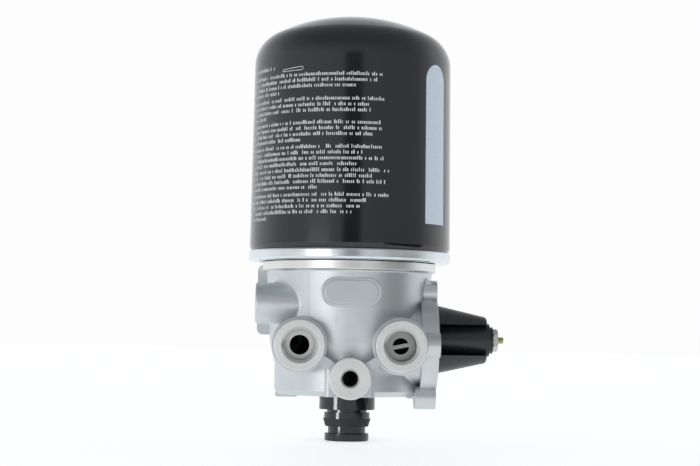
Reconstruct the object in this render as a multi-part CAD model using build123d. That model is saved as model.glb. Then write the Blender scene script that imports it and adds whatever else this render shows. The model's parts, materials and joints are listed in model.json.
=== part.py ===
from build123d import *
from math import atan2, cos, degrees, pi, radians, sin, sqrt
import os

# Compressed-air dryer for a vehicle, in millimetres.
# +Z runs up the cartridge axis, the ports face -Y, the governor points along +X.
# The origin is the centre of the vent connector's lower face.

# Clearances that every fit is worked out from
screw_clearance = 0.1
running_clearance = 0.08
press_clearance = 0.05
rest_gap = 0.3
spring_end_gap = 0.05
groove_play = 0.2
overcut = 1.0

# Heights of the casting
casting_bottom = 31.0
collar_bottom = 114.0
seal_face = 119.6

# Cartridge can, a deep-drawn cup turned upside down
can_height = 167.9
can_radius = 68.0
can_draft = 1.2
can_wall = 1.2
neck_depth = 1.1
neck_rise = 3.4
dome_rise = 34.0
knuckle_radius = 23.5

# Seam lid, the sheet ring rolled round the can's edge
lid_sheet = 1.0
seam_overhang = 0.5
seam_gap = 0.6
seam_height = 7.1
seam_edge_radius = 1.7
lid_flange_width = 3.5
lid_lip_drop = 2.0

# Threaded base plate inside the seam lid
base_plate_thickness = 4.0
base_plate_margin = 3.7
inlet_hole_radius = 5.0
inlet_hole_count = 8
inlet_hole_circle = 34.0
cartridge_thread_radius = 19.5
base_hub_wall = 4.0
base_hub_length = 11.0

# Gasket between seam lid and housing
gasket_margin = 2.1
gasket_width = 7.0
gasket_height = 5.2

# Desiccant canister and what it holds
rising_gap = 6.3
canister_wall = 2.0
canister_foot_height = 7.2
canister_floor_thickness = 3.0
canister_head_room = 31.5
canister_foot_count = 8
canister_foot_width = 3.0
outlet_tube_radius = 13.0
outlet_tube_wall = 2.2
outlet_tube_length = 4.6
floor_rib_height = 2.5
plate_sheet = 1.2
plate_hole_radius = 2.2
plate_hole_rings = ((12.0, 6), (24.0, 12), (36.0, 18), (48.0, 24))
fleece_thickness = 3.0
bed_top_margin = 3.5
bed_spring_wire = 1.8
bed_spring_radius = 32.0
bed_spring_turns = 3.0
prefilter_height = 26.0
prefilter_rise = 9.0
prefilter_ledge = 2.0

# Nipple that the cartridge screws onto
nipple_bore = 8.0
nipple_foot_radius = 15.0
nipple_foot_depth = 14.0
nipple_flange_height = 4.0
nipple_thread_margin = 2.6
nipple_spigot_length = 8.4
o_ring_section = 1.3

# Casting body
collar_radius = 58.6
body_top_radius = 56.0
body_low_radius = 53.0
foot_radius = 49.6
body_step_height = 66.0
foot_step_height = 51.0
bottom_chamfer = 3.0
collar_edge_rounding = 0.8
collar_root_rounding = 1.6
step_rounding = 4.0
bottom_rounding = 1.0
bowl_wall = 11.1
bowl_floor = 86.0
column_wall = 5.5
column_top = 100.0

# Ports on the front, seen along +Y
port_face = -62.0
port_height = 64.5
port_spacing = 66.0
inlet_boss_radius = 16.7
outlet_boss_radius = 17.0
boss_base_step = 1.8
boss_base_face = -52.0
port_thread_radius = 10.2
port_thread_depth = 14.0
port_chamfer = 1.7
port_rim_rounding = 0.7
boss_back = -20.0
inlet_hole = 6.5
inlet_hole_depth = 26.0
tank_port_height = 43.3
tank_boss_radius = 13.7
tank_thread_radius = 5.2
tank_thread_depth = 14.0
tank_chamfer = 1.1
tank_hole = 4.0
tank_hole_depth = 10.0
port_rib_thickness = 6.0
port_rib_face = -57.0
pillar_width = 32.6
pillar_face = -54.0
pillar_top = 50.5
pillar_back = -30.0
pillar_rounding = 3.0

# Oval pad on the front
pad_height = 99.3
pad_length = 39.7
pad_width = 19.3
pad_face = -55.9
island_length = 34.8
island_width = 15.3
island_face = -57.2
pad_back = -40.0
pad_rounding = 0.7
island_rounding = 0.5

# Closed boss on the left
blind_boss_radius = 13.5
blind_boss_y = -30.0
blind_boss_z = 91.5
blind_boss_end = -62.6
blind_boss_inner = -30.0
blind_boss_rounding = 1.2
blind_boss_blend = 3.0

# Rear lugs with tapped fixing holes
lug_face = 56.0
lug_thread_radius = 5.2
lug_thread_depth = 18.0
upper_lug = ((-62.2, -36.0), (70.6, 118.4))
lower_lugs = (((-49.2, -33.7), (27.5, 58.0)), ((42.4, 57.0), (27.5, 58.0)))
lug_front = 8.0
lower_lug_front = 36.0
lug_rounding = 4.0
lug_wall = 3.4
lug_boss_wall = 3.6
lug_pocket_depth = 24.0
foot_rounding = 1.5

# Four-lobed flange on the right
flange_face = 58.3
flange_y = -17.5
flange_z = 65.6
flange_thickness = 11.0
flange_disc_radius = 30.5
lobe_radius = 8.0
lobe_circle = 35.0
lobe_lengths = (17.5, 14.4, 14.4, 14.4)
lobe_thread_radius = 3.4
lobe_thread_depth = 13.0
flange_neck_radius = 25.5
flange_rim_depth = 2.6
flange_rim_step = 0.6
lobe_web_thickness = 12.0
lobe_web_start = 40.0
lobe_web_setback = 4.0
lobe_web_chamfer = 7.0
lobe_rounding = 1.0
flange_neck_start = 20.0
flange_neck_blend = 2.0

# Coring pockets in the rear half of the underside
pocket_inner_radius = 25.5
pocket_outer_radius = 43.0
pocket_top = 78.0
pocket_sweep = 56.0
pocket_starts = (28.0, 96.0)
pocket_rounding = 3.0

# Governor, on an axis along +X
governor_z = 69.3
governor_bore = 21.0
cover_spigot_length = 6.3
diaphragm_thickness = 1.5
diaphragm_radius = 20.8
pressure_chamber_radius = 16.0
pressure_chamber_depth = 6.0
stem_bore_depth = 12.0
stem_radius = 2.6
cover_base_radius = 22.8
cover_rim = 1.0
cover_end_x = 91.8
cover_end_radius = 15.25
cover_end_rounding = 2.0
cover_core_radius = 10.9
cover_channel_half = 10.2
cover_core_end = 93.6
cover_boss_radius = 8.8
cover_boss_end = 96.0
cover_bore = 9.0
cover_mouth_radius = 16.0
cover_mouth_depth = 5.0
cover_end_wall = 5.6
diaphragm_plate_radius = 14.5
diaphragm_plate_thickness = 2.5
governor_spring_wire = 1.1
governor_spring_radius = 6.9
governor_spring_turns = 6.0
spring_plate_thickness = 2.6
adjusting_screw_radius = 4.0
screw_tip_radius = 2.35
lock_nut_flats = 13.0
lock_nut_thickness = 3.5
screw_tip_length = 4.0

# Check valve inside port 21, on an axis along Y
guide_radius = 9.9
guide_thickness = 3.0
guide_window = 5.4
guide_bar_width = 2.5
guide_bar_angle = 12.0
valve_chamber_radius = 8.0
check_seat_depth = 32.0
check_seat_radius = 5.0
check_disc_length = 7.0
check_disc_recess = 4.5
check_disc_flat = 7.2
check_spring_wire = 0.45
check_spring_radius = 6.1
check_spring_turns = 6.0

# Purge valve under the bowl, on the cartridge axis
purge_bore = 17.0
purge_top = 62.0
control_chamber_radius = 13.0
control_chamber_top = 66.0
sleeve_bottom = 43.0
purge_piston_bore = 12.0
sleeve_web_top = 54.0
sleeve_web_bottom = 52.0
sleeve_seat_top = 46.0
purge_seat_radius = 8.0
purge_stem_radius = 3.0
sleeve_groove_depth = 1.8
sleeve_window_radius = 2.2
sleeve_window_count = 6
purge_piston_thickness = 5.0
purge_disc_radius = 11.0
purge_disc_thickness = 3.6
purge_spring_wire = 0.8
purge_spring_radius = 9.6
purge_spring_turns = 4.0

# Vent connector below the casting
vent_radius = 18.9
vent_shoulder = 21.2
vent_neck_radius = 13.6
vent_flange_radius = 15.5
vent_flange_bottom = 15.0
vent_flange_top = 19.3
seal_top_radius = 16.1
seal_bottom_radius = 14.6
seal_bottom = 9.8
vent_groove_radius = 12.75
vent_foot_radius = 15.0
vent_foot_height = 5.4
vent_rounding = 0.9
vent_bore = 10.2
vent_cavity_radius = 13.6
vent_web_bottom = 23.5
vent_web_top = 27.0
vent_web_hole = 7.0
vent_ring_height = 33.5
vent_ring_width = 1.6
vent_ring_depth = 1.4
vent_o_ring_height = 39.0

# Passages cast into the housing
clean_passage_radius = 4.5
clean_passage_z = 77.0
clean_passage_y = -22.0
inlet_riser_radius = 6.0
control_passage_radius = 1.5
drain_passage_radius = 4.0
tank_passage_radius = 2.8
nozzle_length = 7.0
nozzle_hole = 0.9

column_radius = nipple_foot_radius + column_wall
bowl_radius = collar_radius - bowl_wall
gasket_outer_radius = collar_radius - gasket_margin
gasket_inner_radius = gasket_outer_radius - gasket_width
lid_inner_radius = gasket_inner_radius - lid_flange_width
diaphragm_seat = flange_face - cover_spigot_length - diaphragm_thickness
can_top = seal_face + can_height
shoulder_height = can_top - dome_rise
neck_radius = can_radius - neck_depth
seam_radius = can_radius + seam_overhang
seam_bottom = seal_face + seam_gap
seam_top = seam_bottom + seam_height
neck_height = seam_top + rest_gap
base_plate_radius = neck_radius - can_wall - base_plate_margin
canister_radius = can_radius - can_wall - rising_gap
inlet_x = -port_spacing / 2
outlet_x = port_spacing / 2
can_shoulder_radius = can_radius - can_draft
gasket_top = seal_face + gasket_height
base_plate_bottom = gasket_top + lid_sheet
base_plate_top = base_plate_bottom + base_plate_thickness
canister_floor = base_plate_top + canister_foot_height
canister_top = can_top - canister_head_room
prefilter_bottom = canister_floor + prefilter_rise
nipple_thread_end = base_plate_top + nipple_thread_margin
lower_plate_bottom = canister_floor + canister_floor_thickness + floor_rib_height
lower_fleece_bottom = lower_plate_bottom + plate_sheet
bed_bottom = lower_fleece_bottom + fleece_thickness
upper_plate_bottom = canister_top - bed_top_margin - plate_sheet
upper_fleece_bottom = upper_plate_bottom - fleece_thickness
bed_depth = upper_fleece_bottom - bed_bottom
bed_spring_bottom = upper_plate_bottom + plate_sheet
thread_end_y = port_face + port_thread_depth
guide_back_y = thread_end_y + guide_thickness
check_seat_y = port_face + check_seat_depth
cover_spigot_end = diaphragm_seat + diaphragm_thickness
spring_seat_x = cover_spigot_end + diaphragm_plate_thickness
spring_plate_x = cover_boss_end - cover_end_wall - spring_plate_thickness


def upright(radius, bottom, top, x=0.0, y=0.0):
    """A cylinder along Z between two heights."""
    solid = Cylinder(radius, top - bottom, align=(Align.CENTER, Align.CENTER, Align.MIN))
    return Pos(x, y, bottom) * solid


def along_y(radius, start, end, x, z):
    """A cylinder along Y between two Y values."""
    solid = Cylinder(radius, end - start, align=(Align.CENTER, Align.CENTER, Align.MIN))
    return Pos(x, start, z) * Rot(-90, 0, 0) * solid


def along_x(radius, start, end, y, z):
    """A cylinder along X between two X values."""
    solid = Cylinder(radius, end - start, align=(Align.CENTER, Align.CENTER, Align.MIN))
    return Pos(start, y, z) * Rot(0, 90, 0) * solid


def block(x_range, y_range, z_range):
    """A box between two corners."""
    size = (x_range[1] - x_range[0], y_range[1] - y_range[0], z_range[1] - z_range[0])
    solid = Box(*size, align=(Align.MIN, Align.MIN, Align.MIN))
    return Pos(x_range[0], y_range[0], z_range[0]) * solid


def passage(radius, start, end):
    """A round hole from one point to another."""
    run = Vector(*end) - Vector(*start)
    solid = Cylinder(radius, run.length, align=(Align.CENTER, Align.CENTER, Align.MIN))
    return Plane(origin=start, z_dir=run) * solid


def turned(points):
    """A solid of revolution about Z, from (radius, height) corners in order."""
    outline = Polyline(*[(r, z) for r, z in points], close=True)
    return revolve(Plane.XZ * make_face(outline), Axis.Z)


def turned_on_x(points, y, z):
    """A solid of revolution about an axis along +X, from (radius, x) corners in order."""
    return Pos(0, y, z) * Rot(0, 90, 0) * turned(points)


def ring(inner, outer, bottom, top):
    """A flat ring about Z."""
    return turned([(inner, bottom), (outer, bottom), (outer, top), (inner, top)])


def torus_about_z(section, radius, height):
    """An O-ring of round section about Z."""
    return Pos(0, 0, height) * Torus(radius, section)


def coil(radius, wire, bottom, top, turns):
    """A compression spring about Z, whose round wire stays between two heights."""
    rise = top - bottom - 2 * wire
    path = Helix(pitch=rise / turns, height=rise, radius=radius)
    section = Plane(origin=path @ 0, z_dir=path % 0) * Circle(wire)
    return Pos(0, 0, bottom + wire) * sweep(section, path=path, is_frenet=True)


def dome_profile(offset):
    """Can outline from shoulder to crown, moved inwards by an offset.

    The knuckle is an arc tangent to the wall. The crown is an arc centred on the axis and
    tangent to the knuckle.
    """
    knuckle = knuckle_radius - offset
    knuckle_r = can_shoulder_radius - knuckle_radius
    rise = can_top - shoulder_height
    crown = (knuckle_r ** 2 + rise ** 2 - knuckle_radius ** 2) / (2 * (rise - knuckle_radius))
    crown_centre = can_top - crown
    lean = atan2(knuckle_r, shoulder_height - crown_centre)
    start = (can_shoulder_radius - offset, shoulder_height)
    half = (pi / 2 - lean) / 2
    middle = (knuckle_r + knuckle * cos(half), shoulder_height + knuckle * sin(half))
    join = (knuckle_r + knuckle * sin(lean), shoulder_height + knuckle * cos(lean))
    crown_radius = crown - offset
    crown_middle = (crown_radius * sin(lean / 2), crown_centre + crown_radius * cos(lean / 2))
    top = (0, can_top - offset)
    return [ThreePointArc(start, middle, join), ThreePointArc(join, crown_middle, top)]


def cartridge_can():
    """Deep-drawn cup: domed top, drafted wall, neck drawn in above the seam."""
    lip_bottom = seam_bottom + seam_edge_radius
    outer = dome_profile(0)
    inner = dome_profile(can_wall)
    neck_start = (neck_radius, neck_height)
    wall_foot = (can_radius, neck_height + neck_rise)
    neck_bend = (can_radius - neck_depth / 4, neck_height + neck_rise / 2)
    inner_foot = (can_radius - can_wall, wall_foot[1])
    inner_bend = (neck_bend[0] - can_wall, neck_bend[1])
    inner_neck = (neck_radius - can_wall, neck_height)
    lip_outer = seam_radius - lid_sheet - press_clearance
    edges = [
        Line((neck_radius, lip_bottom + can_wall), neck_start),
        ThreePointArc(neck_start, neck_bend, wall_foot),
        Line(wall_foot, outer[0] @ 0),
        outer[0],
        outer[1],
        Line(outer[1] @ 1, inner[1] @ 1),
        inner[1],
        inner[0],
        Line(inner[0] @ 0, inner_foot),
        ThreePointArc(inner_foot, inner_bend, inner_neck),
        Line(inner_neck, (neck_radius - can_wall, lip_bottom)),
        Line((neck_radius - can_wall, lip_bottom), (lip_outer, lip_bottom)),
        Line((lip_outer, lip_bottom), (lip_outer, lip_bottom + can_wall)),
        Line((lip_outer, lip_bottom + can_wall), (neck_radius, lip_bottom + can_wall)),
    ]
    return revolve(Plane.XZ * make_face(edges), Axis.Z)


def seam_lid():
    """Sheet ring: rolled outer edge, flat underside, channel for the gasket."""
    top = seam_top
    channel_outer = gasket_outer_radius + screw_clearance
    channel_inner = gasket_inner_radius - screw_clearance
    hem = neck_radius + press_clearance
    corner = seam_radius - seam_edge_radius
    skirt_inner = seam_radius - lid_sheet
    profile = [
        (lid_inner_radius, base_plate_bottom),
        (lid_inner_radius, base_plate_bottom - lid_sheet - lid_lip_drop),
        (channel_inner, base_plate_bottom - lid_sheet - lid_lip_drop),
        (channel_inner, gasket_top),
        (channel_outer, gasket_top),
        (channel_outer, seam_bottom),
        (corner, seam_bottom),
        (seam_radius - 0.5, seam_bottom + 0.5),
        (seam_radius, seam_bottom + seam_edge_radius),
        (seam_radius, top - 1.0),
        (seam_radius - 0.6, top - 0.2),
        (seam_radius - 1.1, top),
        (hem, top),
        (hem, top - lid_sheet),
        (skirt_inner, top - lid_sheet - 0.2),
        (skirt_inner, seam_bottom + seam_edge_radius),
        (corner, seam_bottom + lid_sheet),
        (channel_outer + lid_sheet, seam_bottom + lid_sheet),
        (channel_outer + lid_sheet, base_plate_bottom),
    ]
    return turned(profile)


def base_plate():
    """Thick steel plate with the threaded hub and a circle of inlet holes."""
    thread = cartridge_thread_radius
    hub = thread + base_hub_wall
    hub_bottom = base_plate_top - base_hub_length
    profile = [
        (thread, hub_bottom),
        (hub, hub_bottom),
        (hub, base_plate_bottom),
        (base_plate_radius, base_plate_bottom),
        (base_plate_radius, base_plate_top),
        (thread, base_plate_top),
    ]
    plate = turned(profile)
    holes = PolarLocations(inlet_hole_circle, inlet_hole_count)
    return plate - holes * upright(inlet_hole_radius, base_plate_bottom - 1, base_plate_top + 1)


def cartridge_gasket():
    """Square-section rubber ring that seals the cartridge on the housing."""
    return ring(gasket_inner_radius, gasket_outer_radius, seal_face, gasket_top)


def hub_o_ring():
    """O-ring in the nipple's groove, sealing the canister's outlet tube."""
    radius = outlet_tube_radius - o_ring_section
    height = nipple_thread_end + nipple_spigot_length / 2
    return torus_about_z(o_ring_section, radius, height)


def desiccant_canister():
    """Moulded cup: floor with the outlet tube, feet on the base plate, ledge for the prefilter."""
    tube = outlet_tube_radius
    inner = canister_radius - canister_wall
    ledge_top = prefilter_bottom
    floor_top = canister_floor + canister_floor_thickness
    profile = [
        (tube, canister_floor - outlet_tube_length),
        (tube + outlet_tube_wall, canister_floor - outlet_tube_length),
        (tube + outlet_tube_wall, canister_floor),
        (canister_radius, canister_floor),
        (canister_radius, ledge_top - prefilter_ledge),
        (can_radius - can_wall - 2.0, ledge_top - prefilter_ledge),
        (can_radius - can_wall - 2.0, ledge_top),
        (canister_radius, ledge_top),
        (canister_radius, canister_top),
        (inner, canister_top),
        (inner, floor_top),
        (tube, floor_top),
    ]
    cup = turned(profile)
    foot_length = inner - inlet_hole_circle - inlet_hole_radius
    foot_x = inner - foot_length / 2
    foot_height = canister_floor - base_plate_top
    foot = Box(foot_length, canister_foot_width, foot_height)
    feet = Pos(0, 0, base_plate_top + foot_height / 2) * PolarLocations(0, canister_foot_count)
    ribs = Pos(0, 0, floor_top + floor_rib_height / 2) * PolarLocations(0, canister_foot_count)
    rib_length = inner - tube
    rib = Box(rib_length, canister_foot_width, floor_rib_height)
    for place in feet:
        cup += place * Pos(foot_x, 0, 0) * foot
    for place in ribs:
        cup += place * Pos(tube + rib_length / 2, 0, 0) * rib
    slots = PolarLocations(canister_radius + 3.0, 2 * canister_foot_count)
    return cup - slots * upright(1.8, ledge_top - prefilter_ledge - 1, ledge_top + 1)


def perforated_plate(bottom):
    """Sheet disc with rings of round holes."""
    radius = canister_radius - canister_wall - rest_gap
    plate = upright(radius, bottom, bottom + plate_sheet)
    for circle, count in plate_hole_rings:
        plate -= PolarLocations(circle, count) * upright(plate_hole_radius, bottom - 1, bottom + 3)
    return plate


def bed_disc(bottom, depth):
    """A plain disc that fills the canister between two heights."""
    return upright(canister_radius - canister_wall - rest_gap, bottom, bottom + depth)


def bed_spring():
    """Coil spring between the upper plate and the can's crown."""
    knuckle_r = can_shoulder_radius - knuckle_radius
    rise = can_top - shoulder_height
    crown = (knuckle_r ** 2 + rise ** 2 - knuckle_radius ** 2) / (2 * (rise - knuckle_radius))
    outer = bed_spring_radius + bed_spring_wire
    drop = crown - sqrt(crown ** 2 - outer ** 2)
    top = can_top - can_wall - drop - rest_gap
    start = bed_spring_bottom + spring_end_gap
    return coil(bed_spring_radius, bed_spring_wire, start, top, bed_spring_turns)


def prefilter_ring():
    """Felt ring between canister and can that catches oil mist."""
    inner = canister_radius + rest_gap
    outer = can_radius - can_wall - 1.4
    return ring(inner, outer, prefilter_bottom, prefilter_bottom + prefilter_height)


def cartridge_nipple():
    """Hollow stud: foot screwed into the column, flange, cartridge thread, spigot with a groove."""
    foot = nipple_foot_radius - screw_clearance
    thread = cartridge_thread_radius - screw_clearance
    spigot = outlet_tube_radius - screw_clearance
    top = nipple_thread_end + nipple_spigot_length
    groove_middle = nipple_thread_end + nipple_spigot_length / 2
    groove_bottom = outlet_tube_radius - 2 * o_ring_section - press_clearance
    profile = [
        (nipple_bore, column_top - nipple_foot_depth),
        (foot, column_top - nipple_foot_depth),
        (foot, column_top),
        (column_radius, column_top),
        (column_radius, column_top + nipple_flange_height),
        (thread, column_top + nipple_flange_height),
        (thread, nipple_thread_end),
        (spigot, nipple_thread_end),
        (spigot, groove_middle - o_ring_section - groove_play),
        (groove_bottom, groove_middle - o_ring_section - groove_play),
        (groove_bottom, groove_middle + o_ring_section + groove_play),
        (spigot, groove_middle + o_ring_section + groove_play),
        (spigot, top),
        (nipple_bore, top),
    ]
    return turned(profile)


def casting_body():
    """The casting's turned core: collar, drafted wall, step down to the foot, cast roundings."""
    profile = [
        (0, casting_bottom),
        (foot_radius - bottom_chamfer, casting_bottom),
        (foot_radius, casting_bottom + bottom_chamfer),
        (foot_radius, foot_step_height),
        (body_low_radius, body_step_height),
        (body_top_radius, collar_bottom),
        (collar_radius, collar_bottom),
        (collar_radius, seal_face),
        (0, seal_face),
    ]
    core = turned(profile)
    for radius, height, rounding in (
        (body_top_radius, collar_bottom, collar_root_rounding),
        (collar_radius, collar_bottom, collar_edge_rounding),
        (body_low_radius, body_step_height, step_rounding),
        (foot_radius, foot_step_height, step_rounding),
        (foot_radius, casting_bottom + bottom_chamfer, bottom_rounding),
    ):
        core = fillet(rim_edge(core, radius, height), rounding)
    return core


def rim_edge(solid, radius, height):
    """The circular edge about Z that lies nearest to a radius and a height."""
    rims = solid.edges().filter_by(GeomType.CIRCLE)
    return rims.sort_by(lambda rim: abs(rim.radius - radius) + abs(rim.center().Z - height))[0]


def blended(base, form, radius):
    """Join a form to the casting and round the edge where they meet."""
    union = base + form
    return fillet(new_edges(base, form, combined=union), radius)


def front_boss(radius, face, x, z, rounding):
    """Round boss on the front, with its rim rounded."""
    boss = along_y(radius, face, boss_back, x, z)
    rim = boss.edges().filter_by(GeomType.CIRCLE).sort_by(Axis.Y)[0]
    return fillet(rim, rounding)


def port_bosses():
    """Round bosses for ports 1, 21 and 22, each of the large two on a wider base."""
    bosses = front_boss(tank_boss_radius, port_face, 0, tank_port_height, port_rim_rounding)
    for radius, x in ((inlet_boss_radius, inlet_x), (outlet_boss_radius, outlet_x)):
        bosses += front_boss(radius, port_face, x, port_height, port_rim_rounding)
        bosses += front_boss(radius + boss_base_step, boss_base_face, x, port_height, port_rim_rounding)
    return bosses


def port_ribs():
    """Two ribs that tie the tank port's boss to the bosses of ports 1 and 21."""
    ribs = None
    for x in (inlet_x, outlet_x):
        rise = port_height - tank_port_height
        length = sqrt(x ** 2 + rise ** 2)
        lean = degrees(atan2(rise, x))
        rib = Box(length, 20.0, port_rib_thickness, align=(Align.MIN, Align.MIN, Align.CENTER))
        placed = Pos(0, port_rib_face, tank_port_height) * Rot(0, -lean, 0) * rib
        ribs = placed if ribs is None else ribs + placed
    return ribs


def front_pillar():
    """Upright pillar behind the tank port, with rounded front corners."""
    half = pillar_width / 2
    pillar = block((-half, half), (pillar_face, pillar_back), (casting_bottom, pillar_top))
    corners = pillar.edges().filter_by(Axis.Z).group_by(Axis.Y)[0]
    return fillet(corners, pillar_rounding)


def oval_pad():
    """Flat oval pad with a raised oval island."""
    plane = Plane(origin=(0, pad_back, pad_height), x_dir=(1, 0, 0), z_dir=(0, -1, 0))
    pad = extrude(plane * SlotOverall(pad_length, pad_width), pad_back - pad_face)
    pad = fillet(pad.faces().sort_by(Axis.Y)[0].edges(), pad_rounding)
    island = extrude(plane * SlotOverall(island_length, island_width), pad_back - island_face)
    return pad + fillet(island.faces().sort_by(Axis.Y)[0].edges(), island_rounding)


def blind_boss():
    """Closed round boss on the left, with a rounded end."""
    boss = along_x(blind_boss_radius, blind_boss_end, blind_boss_inner, blind_boss_y, blind_boss_z)
    end = boss.edges().filter_by(GeomType.CIRCLE).sort_by(Axis.X)[0]
    return fillet(end, blind_boss_rounding)


def rear_lugs():
    """Cast blocks at the back, which the fixing screws go into."""
    upper = block(upper_lug[0], (lug_front, lug_face), upper_lug[1])
    upper = fillet(upper.edges().filter_by(Axis.Y).group_by(Axis.X)[0], lug_rounding)
    lugs = upper
    for x_range, z_range in lower_lugs:
        arm = block(x_range, (lug_front, lug_face), (casting_bottom + bottom_chamfer, z_range[1]))
        foot = block(x_range, (lower_lug_front, lug_face), z_range)
        bottom_edges = foot.edges().filter_by(Axis.Y).group_by(Axis.Z)[0]
        lugs += arm + fillet(bottom_edges, foot_rounding)
    return lugs


def lug_pockets():
    """Pockets in the lugs' rear faces, which leave an outer wall and a round boss at each hole."""
    pockets = []
    for x_range, z_range in [upper_lug] + list(lower_lugs):
        room = block(
            (x_range[0] + lug_wall, x_range[1] - lug_wall),
            (lug_face - lug_pocket_depth, lug_face + overcut),
            (z_range[0] + lug_wall, z_range[1] - lug_wall),
        )
        x = sum(x_range) / 2
        z = sum(z_range) / 2
        radius = lug_thread_radius + lug_boss_wall
        pockets.append(room - along_y(radius, lug_face - 2 * lug_pocket_depth, lug_face + 2 * overcut, x, z))
    return pockets


def lug_centres():
    """Centres of the three rear fixing holes, as (x, z)."""
    places = [upper_lug] + list(lower_lugs)
    return [((x[0] + x[1]) / 2, (z[0] + z[1]) / 2) for x, z in places]


def lobe_centres():
    """Centres of the flange's four lobes, as (y, z): top, bottom, front, back."""
    turns = (90, 270, 180, 0)
    return [
        (flange_y + lobe_circle * cos(radians(a)), flange_z + lobe_circle * sin(radians(a)))
        for a in turns
    ]


def side_flange():
    """Four-lobed flange, and the web from the collar to the top lobe."""
    back = flange_face - flange_thickness
    rim = flange_face - flange_rim_depth
    flange = along_x(flange_disc_radius, back, rim, flange_y, flange_z)
    flange += along_x(flange_disc_radius - flange_rim_step, rim, flange_face, flange_y, flange_z)
    for (y, z), length in zip(lobe_centres(), lobe_lengths):
        lobe = along_x(lobe_radius, flange_face - length, flange_face, y, z)
        ends = lobe.edges().filter_by(GeomType.CIRCLE).sort_by(Axis.X)[0]
        flange += fillet(ends, lobe_rounding)
    top_y, top_z = lobe_centres()[0]
    half = lobe_web_thickness / 2
    web_end = flange_face - lobe_web_setback
    web = block((lobe_web_start, web_end), (top_y - half, top_y + half), (top_z - 2.0, collar_bottom))
    corner = web.edges().filter_by(Axis.Y).sort_by(lambda e: e.center().X + e.center().Z)[-1]
    return flange + chamfer(corner, lobe_web_chamfer)


def flange_neck():
    """Round neck between the casting's wall and the side flange."""
    return along_x(flange_neck_radius, flange_neck_start, flange_face - overcut, flange_y, flange_z)


def valve_housing():
    """The die casting: core, bosses, ribs, pad, lugs and flange, then its bores and passages."""
    body = blended(casting_body(), blind_boss(), blind_boss_blend)
    body = blended(body, flange_neck(), flange_neck_blend)
    for form in (port_bosses(), port_ribs(), front_pillar(), oval_pad(), rear_lugs(), side_flange()):
        body += form
    body -= bowl_cut()
    for cut in port_cuts() + governor_cuts() + purge_cuts() + passage_cuts() + fixing_cuts():
        body -= cut
    for cut in lug_pockets() + coring_pockets():
        body -= cut
    return body


def coring_pockets():
    """Two curved pockets that core out the rear half of the casting from below."""
    pockets = []
    size = (pocket_outer_radius - pocket_inner_radius, pocket_top - casting_bottom + overcut)
    middle = (pocket_outer_radius + pocket_inner_radius) / 2
    section = Pos(middle, pocket_top - size[1] / 2) * Rectangle(*size)
    sector = revolve(Plane.XZ * section, Axis.Z, revolution_arc=pocket_sweep)
    roof = sector.edges().group_by(Axis.Z)[-1]
    sector = fillet(roof, pocket_rounding)
    for start in pocket_starts:
        pockets.append(Rot(0, 0, start) * sector)
    return pockets


def bowl_cut():
    """The open bowl under the cartridge, with the column for the nipple left standing."""
    room = ring(column_radius, bowl_radius, bowl_floor, seal_face + overcut)
    above = upright(column_radius, column_top, seal_face + overcut)
    socket = upright(nipple_foot_radius, column_top - nipple_foot_depth, column_top + overcut)
    return room + above + socket


def port_cuts():
    """Thread bores, mouths and inner holes of the three ports."""
    cuts = []
    sizes = (
        (inlet_x, port_height, port_thread_radius, port_thread_depth, port_chamfer),
        (outlet_x, port_height, port_thread_radius, port_thread_depth, port_chamfer),
        (0.0, tank_port_height, tank_thread_radius, tank_thread_depth, tank_chamfer),
    )
    for x, z, radius, depth, mouth in sizes:
        cuts.append(along_y(radius, port_face - 1, port_face + depth, x, z))
        cone = Cone(radius + mouth, radius, mouth, align=(Align.CENTER, Align.CENTER, Align.MIN))
        cuts.append(Pos(x, port_face, z) * Rot(-90, 0, 0) * cone)
    inlet_end = thread_end_y + inlet_hole_depth
    cuts.append(along_y(inlet_hole, thread_end_y - 1, inlet_end, inlet_x, port_height))
    tank_start = port_face + tank_thread_depth
    cuts.append(along_y(tank_hole, tank_start - 1, tank_start + tank_hole_depth, 0, tank_port_height))
    guide_seat = guide_radius + press_clearance
    cuts.append(along_y(guide_seat, thread_end_y - 1, guide_back_y, outlet_x, port_height))
    cuts.append(along_y(valve_chamber_radius, guide_back_y - 1, check_seat_y, outlet_x, port_height))
    cuts.append(along_y(check_seat_radius, check_seat_y - 1, clean_passage_y, outlet_x, port_height))
    return cuts


def governor_cuts():
    """Bore for the governor cover, pressure chamber behind the diaphragm, bore for the stem."""
    chamber = diaphragm_seat - pressure_chamber_depth
    stem_end = chamber - stem_bore_depth
    seat_radius = cover_base_radius + screw_clearance
    seat = along_x(seat_radius, flange_face - cover_rim, flange_face + overcut, flange_y, governor_z)
    bore = along_x(governor_bore, diaphragm_seat, flange_face, flange_y, governor_z)
    room = along_x(pressure_chamber_radius, chamber, diaphragm_seat + 1, flange_y, governor_z)
    stem = along_x(stem_radius + running_clearance, stem_end, chamber + 1, flange_y, governor_z)
    return [seat, bore, room, stem]


def purge_cuts():
    """Stepped bore for the vent connector, the purge valve's sleeve and the control chamber."""
    lowest = min(casting_bottom, tank_port_height - tank_boss_radius)
    mouth = upright(vent_radius + screw_clearance, lowest - overcut, sleeve_bottom)
    bore = upright(purge_bore, sleeve_bottom - 1, purge_top)
    chamber = upright(control_chamber_radius, purge_top - 1, control_chamber_top)
    groove_outer = vent_radius + screw_clearance + vent_ring_depth
    groove = upright(groove_outer, vent_ring_height, vent_ring_height + vent_ring_width)
    return [mouth, bore, chamber, groove]


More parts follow.
